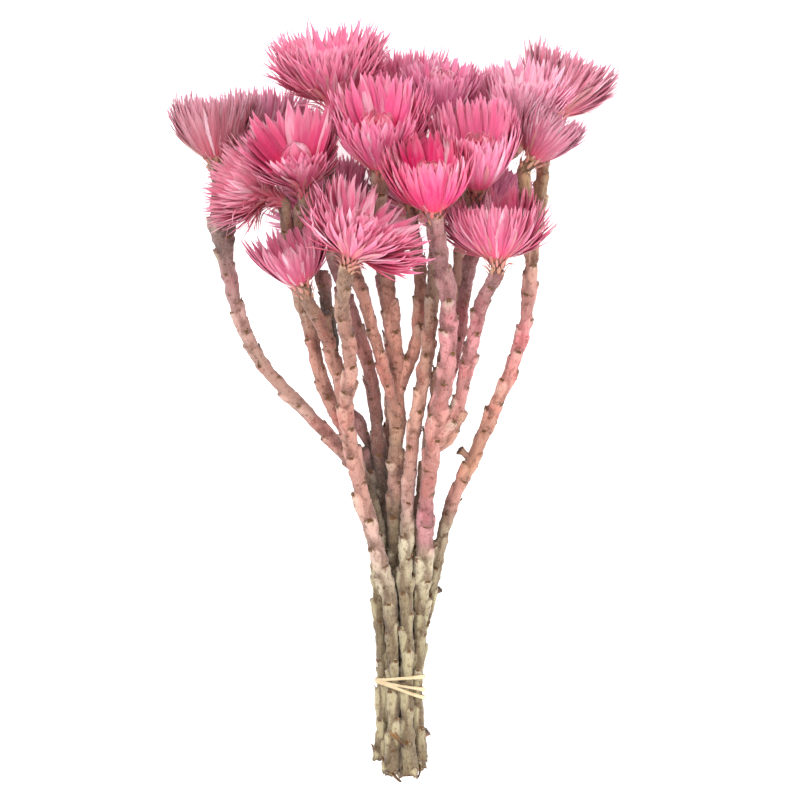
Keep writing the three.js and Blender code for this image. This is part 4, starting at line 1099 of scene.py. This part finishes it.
def bloom_tree():
    """A head: bracts set on points, bent along their leans, round a turned receptacle."""
    wire, size = new_tree("strawflower head", {
        "Foot": (0.0, 0.0, 0.0), "Axis": (0.0, 0.0, 1.0), "Across": (1.0, 0.0, 0.0),
        "Dye": (0.8, 0.3, 0.4), "Segments": 8, "Cup": 0.18, "Size": 1.0,
        "Receptacle Radius": 0.007, "Receptacle Height": 0.0175, "Material": None})
    place = wire.make("GeometryNodeInputPosition")
    blank = wire.make("GeometryNodeMeshCylinder", None, {
        "Vertices": 4, "Side Segments": size["Segments"], "Radius": 1.0, "Depth": 1.0}, "Mesh")
    blank = stored(wire, blank, "blade", place + (0, 0, 0.5), "FLOAT_VECTOR")
    bracts = wire.make("GeometryNodeInstanceOnPoints", None, {
        "Points": size["Geometry"], "Instance": blank})
    bracts = wire.make("GeometryNodeRealizeInstances", None, {0: bracts})
    blade = named(wire, "blade", "FLOAT_VECTOR")
    across, side, share = blade.parts()
    turn = named(wire, "turn")
    leans = named(wire, "leans", "FLOAT_VECTOR").parts()
    length, half_width, thick = named(wire, "form", "FLOAT_VECTOR").parts()
    twist, sway, broad = named(wire, "twist", "FLOAT_VECTOR").parts()
    out, up, _ = named(wire, "root", "FLOAT_VECTOR").parts()
    now = 0
    for start, end, run, whole in (
            (leans[0], leans[1], wire.sum("MINIMUM", share, KNEE), KNEE),
            (leans[1], leans[2], wire.sum("MAXIMUM", share - KNEE, 0.0), 1 - KNEE)):
        bend = (end - start) / whole
        lean = start + bend * run
        out = out + length * (wire.sum("COSINE", start) - wire.sum("COSINE", lean)) / bend
        up = up + length * (wire.sum("SINE", lean) - wire.sum("SINE", start)) / bend
        now = lean + now
    now = now - leans[1]
    spoke = wire.vector(wire.sum("COSINE", turn), wire.sum("SINE", turn), 0.0)
    tangent = wire.vector(0 - wire.sum("SINE", turn), wire.sum("COSINE", turn), 0.0)
    inward = wire.vector(0.0, 0.0, wire.sum("SINE", now)) - spoke * wire.sum("COSINE", now)
    turned = twist * share * share
    blade_side = tangent * wire.sum("COSINE", turned) + inward * wire.sum("SINE", turned)
    blade_face = inward * wire.sum("COSINE", turned) - tangent * wire.sum("SINE", turned)
    fine = wire.make("ShaderNodeFloatCurve", {"curve": FINE_OUTLINE}, {"Value": share})
    full = wire.make("ShaderNodeFloatCurve", {"curve": BROAD_OUTLINE}, {"Value": share})
    outline = fine + broad * (full - fine)
    width = half_width * outline
    lift = across * across * width * size["Cup"] + side * thick * (0.35 + 0.65 * outline)
    local = (spoke * out + wire.vector(0.0, 0.0, up)
             + blade_side * (across * width + sway * length * share * share) + blade_face * lift)
    bracts = reshaped(wire, bracts, local)
    angle = wire.make("GeometryNodeInputMeshEdgeAngle", None, None, "Unsigned Angle")
    rim = wire.make("FunctionNodeCompare", {"operation": "GREATER_THAN"}, {0: angle, 1: RIM_ANGLE})
    bracts = wire.make("GeometryNodeStoreNamedAttribute", {"data_type": "BOOLEAN", "domain": "EDGE"},
                       {"Geometry": bracts, "Name": "sharp_edge", "Value": rim})

    core = wire.make("GeometryNodeMeshCylinder", None, {
        "Vertices": 20, "Side Segments": 10, "Radius": 1.0, "Depth": 1.0}, "Mesh")
    height = place.part(2) + 0.5
    girth = wire.make("ShaderNodeFloatCurve", {"curve": RECEPTACLE_OUTLINE}, {"Value": height})
    spread = girth * size["Receptacle Radius"] * size["Size"]
    turned_core = wire.vector(place.part(0) * spread, place.part(1) * spread,
                              height * size["Receptacle Height"] * size["Size"])
    core = stored(wire, core, "dry", 1.0)
    core = reshaped(wire, core, turned_core)

    head = wire.make("GeometryNodeJoinGeometry")
    for part in (core, bracts):
        wire.tree.links.new(part.socket, head.socket.node.inputs[0])
    upright = size["Axis"].make("ShaderNodeVectorMath", {"operation": "CROSS_PRODUCT"},
                                {0: size["Axis"], 1: size["Across"]})
    stood = (size["Foot"] + size["Across"] * place.part(0) + upright * place.part(1)
             + size["Axis"] * place.part(2))
    head = reshaped(wire, head, stood)
    head = stored(wire, head, "dye", size["Dye"], "FLOAT_VECTOR")
    close_tree(wire, head, size["Material"])
    return wire.tree


TAN = plain_colour("#b8946a")
SILVER_PINK = plain_colour("#f0c3cf")


def bract_material():
    """Satin paper, striped along the bract: deep at the root, silvery at the tip and outside, with painted
    satin highlights in whitish streaks on some bracts.
    """
    wire, finish = new_material("bract_paper")
    blade, tone = attribute(wire, "blade"), attribute(wire, "tone")
    across, side, share = blade.parts()
    _, first, second = tone.parts()
    dye = attribute(wire, "dye", "Color")
    dry = attribute(wire, "dry", "Fac")
    stripe_place = wire.vector(across * 3.4 + first * 31, share * 0.7, second * 17)
    stripes = wire.noise(stripe_place, 3.2, 4.0, 0.65)
    flames = wire.noise(wire.vector(across * 1.1 + second * 23, share * 1.6, first * 19), 1.6, 2.0)
    deep = dye * (1.28, 0.44, 0.6)
    colour = wire.blend(deep, dye, (share + flames * 0.3).between(0.05, 0.6))
    pale = wire.blend(dye, SILVER_PINK, 0.38)
    tips = (share * 0.75 + flames * 0.6 + first * 0.2).between(0.65, 1.25)
    colour = wire.blend(colour, pale, tips * 0.75)
    colour = wire.blend(colour, pale, (0 - side).between(0.0, 0.8) * 0.15)
    # painted highlight: whitish satin streaks painted on some bracts
    painted_highlight = second.between(0.8, 1.0) * flames.between(0.25, 0.6)
    colour = wire.blend(colour, SILVER_PINK * 1.05, painted_highlight * 0.65)
    colour = wire.blend(colour, colour * (0.9, 0.6, 0.72), stripes.between(0.5, 0.78) * 0.45)
    colour = colour * (0.92 + first * 0.16)
    colour = wire.blend(colour, TAN * 0.9, dry * (0.7 + 0.3 * stripes))
    return finish(colour, 0.34 + stripes * 0.25 + dry * 0.2, stripes, 0.0003,
                  **{"Specular IOR Level": 0.4, "Sheen Weight": 0.05, "Sheen Roughness": 0.35,
                     "Subsurface Weight": 0.35, "Subsurface Radius": (1.0, 0.35, 0.5),
                     "Subsurface Scale": 0.0012})


# A head's look: the number, width, tip's hook and reach of its bracts, how much painted satin highlight its
# inner bracts carry, and how unruly and "broad" they are, from fine and tapering at 0 to broad at 1. Then the
# numbers of its foot scales, crown bracts and florets, how far the scales reach, and how much the crown leans
# and stands up. "droop" lets the low bracts hang. From the place "closes" in the spiral the bracts still
# close over the middle, "front_short" shortens the upper side, and "drawn_in" closes the sides at the angles
# "drawn", where something held them in.
PLAIN = {"width": 4.2, "bracts": 300, "hook": 0.1, "scales": 20, "scale_reach": 1, "florets": 60,
         "closes": 1, "front_short": 0, "highlight_share": 0, "reach": 1, "drawn": (0, 0), "drawn_in": 0,
         "droop": 0}
FINE = {**PLAIN, "broad": 0.2, "unruly": 0.1, "crown": 20, "crown_lean": 0.4, "crown_up": 0}
BROAD = {**PLAIN, "broad": 1.0, "unruly": 0.07, "crown": 26, "crown_lean": 0.5, "crown_up": 3,
         "highlight_share": 0.1}
BUDDED = {**PLAIN, "broad": 0.8, "unruly": 0.08, "crown": 0, "crown_lean": 0.1, "crown_up": 2,
          "florets": 0, "closes": 0.6, "front_short": 0.35, "highlight_share": 0.3}
HIDDEN = {**BROAD, "dye": "#c8527e", "width": 3.6, "bracts": 280}
LOOKS = {
    "bloom_01": {**FINE, "dye": "#e45884", "bracts": 560, "hook": 0.12, "scales": 60,
                 "scale_reach": 2, "unruly": 0.14, "drawn": (0, 3.1), "drawn_in": 0.12},
    "bloom_02": {**FINE, "dye": "#ae5565", "width": 3.9, "bracts": 400, "scales": 30,
                 "reach": 1.08, "drawn_in": 0.25},
    "bloom_03": {**FINE, "dye": "#c6577f", "bracts": 340},
    "bloom_04": {**FINE, "dye": "#d96882", "width": 3.9, "bracts": 440, "hook": -0.1,
                 "scales": 90, "scale_reach": 2.4, "droop": 0.5},
    "bloom_05": {**BUDDED, "dye": "#ce2f66", "width": 5.8, "bracts": 320, "scales": 40,
                 "scale_reach": 1.6, "front_short": 0.1, "unruly": 0.05},
    "bloom_06": {**BROAD, "dye": "#ee538b", "width": 4.0, "bracts": 440, "unruly": 0.08},
    "bloom_07": {**BROAD, "dye": "#e81d6b", "width": 4.8, "bracts": 340},
    "bloom_08": {**BROAD, "dye": "#ed6391", "width": 4.0, "bracts": 420, "scales": 22},
    "bloom_09": {**BROAD, "dye": "#d64372", "width": 3.6, "bracts": 480, "hook": 0.2, "scales": 40},
    "bloom_10": {**FINE, "dye": "#e45c86", "width": 5.7, "bracts": 360, "hook": 0.25,
                 "scales": 60, "highlight_share": 0.7, "broad": 0.5, "unruly": 0.13},
    "bloom_11": {**BUDDED, "dye": "#c1436a", "width": 4.4, "bracts": 280, "scales": 24,
                 "reach": 1.15, "drawn_in": 0.35},
    "bloom_12": {**FINE, "dye": "#ad4764", "width": 4.4, "bracts": 420, "scales": 24,
                 "reach": 0.9, "drawn": (3.1, 3.1), "drawn_in": 0.55},
    "bloom_13": {**FINE, "dye": "#c15b73", "width": 4.4, "bracts": 420, "hook": 0.0,
                 "reach": 1.05, "drawn": (3.1, 3.1), "drawn_in": 0.3},
    "bloom_14": {**BROAD, "dye": "#d35383", "width": 4.0, "bracts": 320, "scales": 16, "reach": 0.84},
    "bloom_15": {**FINE, "dye": "#e25986", "scales": 16, "reach": 0.88},
    "bloom_16": {**FINE, "dye": "#e25986", "scales": 16, "reach": 1.2},
    "bloom_17": {**FINE, "dye": "#ee88a8", "width": 5.2, "scales": 16, "reach": 0.86,
                 "highlight_share": 0.6, "broad": 0.6},
    "bloom_18": HIDDEN,
    "bloom_19": HIDDEN,
    "bloom_20": {**HIDDEN, "reach": 0.7},
}

bract_paper = bract_material()
strawflower_head = bloom_tree()
for number, (name, head) in enumerate(heads.items()):
    look = LOOKS[name]
    attributes = bloom_points(head, look, BLOOM_SEED + number)
    bloom = grow(
        name + "_bracts", np.zeros((len(attributes["turn"]), 3)), [], attributes, strawflower_head,
        Foot=in_frame(head["base"]).tolist(), Axis=head["axis"].tolist(), Across=head["u"].tolist(),
        Dye=plain_colour(look["dye"]).tolist(), Size=float(head["size"]), Material=bract_paper)
    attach(bloom, "root")
    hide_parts(name)

# ---- Raffia tie ----
# Three strands of straw-coloured palm raffia round the tied stems. They meet on the left of the
# bundle and fan out to the right, and a small knot with two short tails holds them, low down.

STRANDS = ((2.7, 4.6), (2.6, -1.6), (2.5, -5.2))  # distances along the bundle, left and right
PLIES = 2
PLY_WIDTH, PLY_THICK, PLY_SPACING, PLY_WAVER = 1.15, 0.42, 0.95, 0.12
STRAND_REACH = RAFFIA_INNER + 0.32
PLY_POINTS, LOOP_POINTS, TAIL_POINTS = 72, 24, 12
RAFFIA_SEED = 31
KNOT = {"angle": 216, "along": 2.6, "reach": AXIS_HEIGHT + 0.4, "tails": (-11, 9),
        "half_width": 1.3, "half_length": 2.1, "rise": 0.55, "leans": (-0.5, 0.45)}


def around(turn, reach, along):
    """Points at angles round the bundle, at those distances from its axis and along it."""
    return np.stack([reach * np.cos(turn), along + 0 * turn, AXIS_HEIGHT + reach * np.sin(turn)], axis=1)


def raffia_rail(turn, reach, along, widths, closed=True):
    """A ply's line: its points, where its face looks, and its widths."""
    return {"points": around(turn, reach, along), "widths": widths, "closed": closed,
            "normals": around(turn, np.ones_like(turn), 0) - (0, 0, AXIS_HEIGHT)}


def ply_rail(left, right, ply, seed):
    """One ply of a strand, all the way round the bundle."""
    draws = seeded_random(seed)
    drift = [2 * math.pi * next(draws) for _ in range(3)]
    turn = np.linspace(0, 2 * math.pi, PLY_POINTS, endpoint=False)
    along = left + (right - left) * (1 + np.cos(turn)) / 2
    aside = (ply - (PLIES - 1) / 2) * PLY_SPACING
    along = along + aside * (0.6 + 0.4 * np.sin(2 * turn + drift[0]))
    reach = STRAND_REACH + PLY_WAVER * np.sin(3 * turn + drift[1]) + 0.1 * ply
    return raffia_rail(turn, reach, along, 1 + 0.25 * np.sin(2 * turn + drift[2]))


def knot_rails():
    """The knot is two small loops of ply on the strands, and its tails lie along the bundle."""
    centre = math.radians(KNOT["angle"])
    rails = []
    loop = np.linspace(0, 2 * math.pi, LOOP_POINTS, endpoint=False)
    for lean in KNOT["leans"]:
        turn = centre + (KNOT["half_width"] * np.cos(loop) * math.cos(lean)) / KNOT["reach"]
        along = KNOT["along"] + KNOT["half_length"] * np.sin(loop) + lean * np.cos(loop)
        reach = KNOT["reach"] + KNOT["rise"] * np.cos(2 * loop + lean)
        rails.append(raffia_rail(turn, reach, along, np.full(LOOP_POINTS, 1.1)))
    for tail in KNOT["tails"]:
        share = np.linspace(0, 1, TAIL_POINTS)
        turn = centre - 0.12 * share ** 2
        reach = KNOT["reach"] + 0.9 * np.sin(share * 2.4)
        rails.append(raffia_rail(turn, reach, KNOT["along"] + tail * share, 1.1 - 0.6 * share, closed=False))
    return rails


def raffia_tree():
    """A flat ply swept along its line, its face turned out from the bundle."""
    wire, size = new_tree("raffia ply", {
        "Width": PLY_WIDTH * MM, "Thickness": PLY_THICK * MM, "Material": None})
    line = wire.make("GeometryNodeMeshToCurve", None, {0: size["Geometry"]})
    line = wire.make("GeometryNodeSetCurveNormal", {"mode": "FREE"}, {
        "Curve": line, "Normal": named(wire, "facing", "FLOAT_VECTOR")})
    length = wire.make("GeometryNodeSplineParameter", None, None, "Length")
    line = stored(wire, line, "along", length)
    ring = wire.make("GeometryNodeCurvePrimitiveCircle", None, {"Resolution": 10, "Radius": 0.5})
    place = wire.make("GeometryNodeInputPosition")
    ring = stored(wire, ring, "round", place * 2, "FLOAT_VECTOR")
    flat = place * wire.vector(size["Thickness"], size["Width"], 1.0)
    ring = reshaped(wire, ring, flat)
    ply = wire.make("GeometryNodeCurveToMesh", None, {
        "Curve": line, "Profile Curve": ring, "Scale": named(wire, "width"), "Fill Caps": True})
    close_tree(wire, ply, size["Material"])
    return wire.tree


FIBRE_DARK, FIBRE_PALE, FIBRE_AGED = map(plain_colour, ("#b08f62", "#e2cfab", "#9a7644"))


def raffia_material():
    """Pale dry leaf strip with fibres along it."""
    wire, finish = new_material("raffia_strand")
    place = wire.make("ShaderNodeTexCoord", None, None, "Object")
    along = attribute(wire, "along", "Fac")
    round_ply = attribute(wire, "round")
    fibre_place = wire.vector(round_ply.part(0) * 3, round_ply.part(1) * 5, along * 60)
    fibres = wire.noise(fibre_place, 2.2, 4.0, 0.6)
    patches = wire.noise(place, 300.0, 2.0)
    colour = wire.blend(FIBRE_DARK, FIBRE_PALE, fibres.between(0.3, 0.65))
    colour = wire.blend(colour, FIBRE_AGED, patches.between(0.55, 0.8) * 0.5)
    return finish(colour, 0.5 + fibres * 0.2, fibres, 0.0003, **{"Specular IOR Level": 0.4})


rails = [ply_rail(left, right, ply, RAFFIA_SEED + 5 * k + ply)
         for k, (left, right) in enumerate(STRANDS) for ply in range(PLIES)] + knot_rails()
tie = grow("raffia_strands", *joined(rails), {
    "facing": np.vstack([rail["normals"] for rail in rails]),
    "width": np.concatenate([rail["widths"] for rail in rails]),
}, raffia_tree(), Material=raffia_material())
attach(tie, "root")
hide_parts("raffia_tie")

# ---- Table, light and camera ----
# The bunch lies on a plain white table under soft studio light. The camera looks straight down
# on it through a long lens.

VIEW_CENTRE = in_frame((0, 130.5, 0))
VIEW_WIDTH = 0.36
VIEW_DEPTH = 0.065  # the height at which the view has that width
CAMERA_HEIGHT = 4.0
FILM_WIDTH = 36
LIGHT_AIM = (0, 0.05, 0.05)

bpy.context.scene.view_settings.view_transform = "Standard"
bpy.ops.mesh.primitive_plane_add(size=8, location=(0, 0, 0))
table = bpy.context.object
table.name = "table"
wire, finish = new_material("table_white")
haze = wire.noise(wire.make("ShaderNodeTexCoord", None, None, "Object"), 3.0, 2.0)
table.data.materials.append(finish(
    wire.blend((0.9, 0.9, 0.9), (0.93, 0.93, 0.93), haze), 0.7, haze, 0.00001,
    **{"Specular IOR Level": 0.2, "Emission Color": (1, 1, 1), "Emission Strength": 0.55}))

world = bpy.data.worlds.new("studio")
bpy.context.scene.world = world
world.use_nodes = True
sky = world.node_tree.nodes["Background"].inputs
sky["Color"].default_value = (1, 1, 1, 1)
sky["Strength"].default_value = 1.3


def soft_light(name, place, power, side):
    """A square soft light at a place, turned towards the bunch."""
    lamp = bpy.data.lights.new(name, "AREA")
    lamp.energy, lamp.size = power, side
    lamp_object = bpy.data.objects.new(name, lamp)
    bpy.context.scene.collection.objects.link(lamp_object)
    lamp_object.location = place
    aim = np.array(LIGHT_AIM) - np.array(place)
    lamp_object.rotation_mode = "QUATERNION"
    lamp_object.rotation_quaternion = Vector(aim).to_track_quat("-Z", "Y")


soft_light("key_light", (-0.8, 0.7, 1.9), 30, 1.2)
soft_light("fill_light", (1.1, -0.7, 1.0), 16, 1.2)

lens = bpy.data.cameras.new("camera")
lens.sensor_width = FILM_WIDTH
lens.lens = FILM_WIDTH * (CAMERA_HEIGHT - VIEW_DEPTH) / VIEW_WIDTH
lens.clip_end = 20
camera = bpy.data.objects.new("camera", lens)
bpy.context.scene.collection.objects.link(camera)
camera.location = (VIEW_CENTRE[0], VIEW_CENTRE[1], CAMERA_HEIGHT)
bpy.context.scene.camera = camera
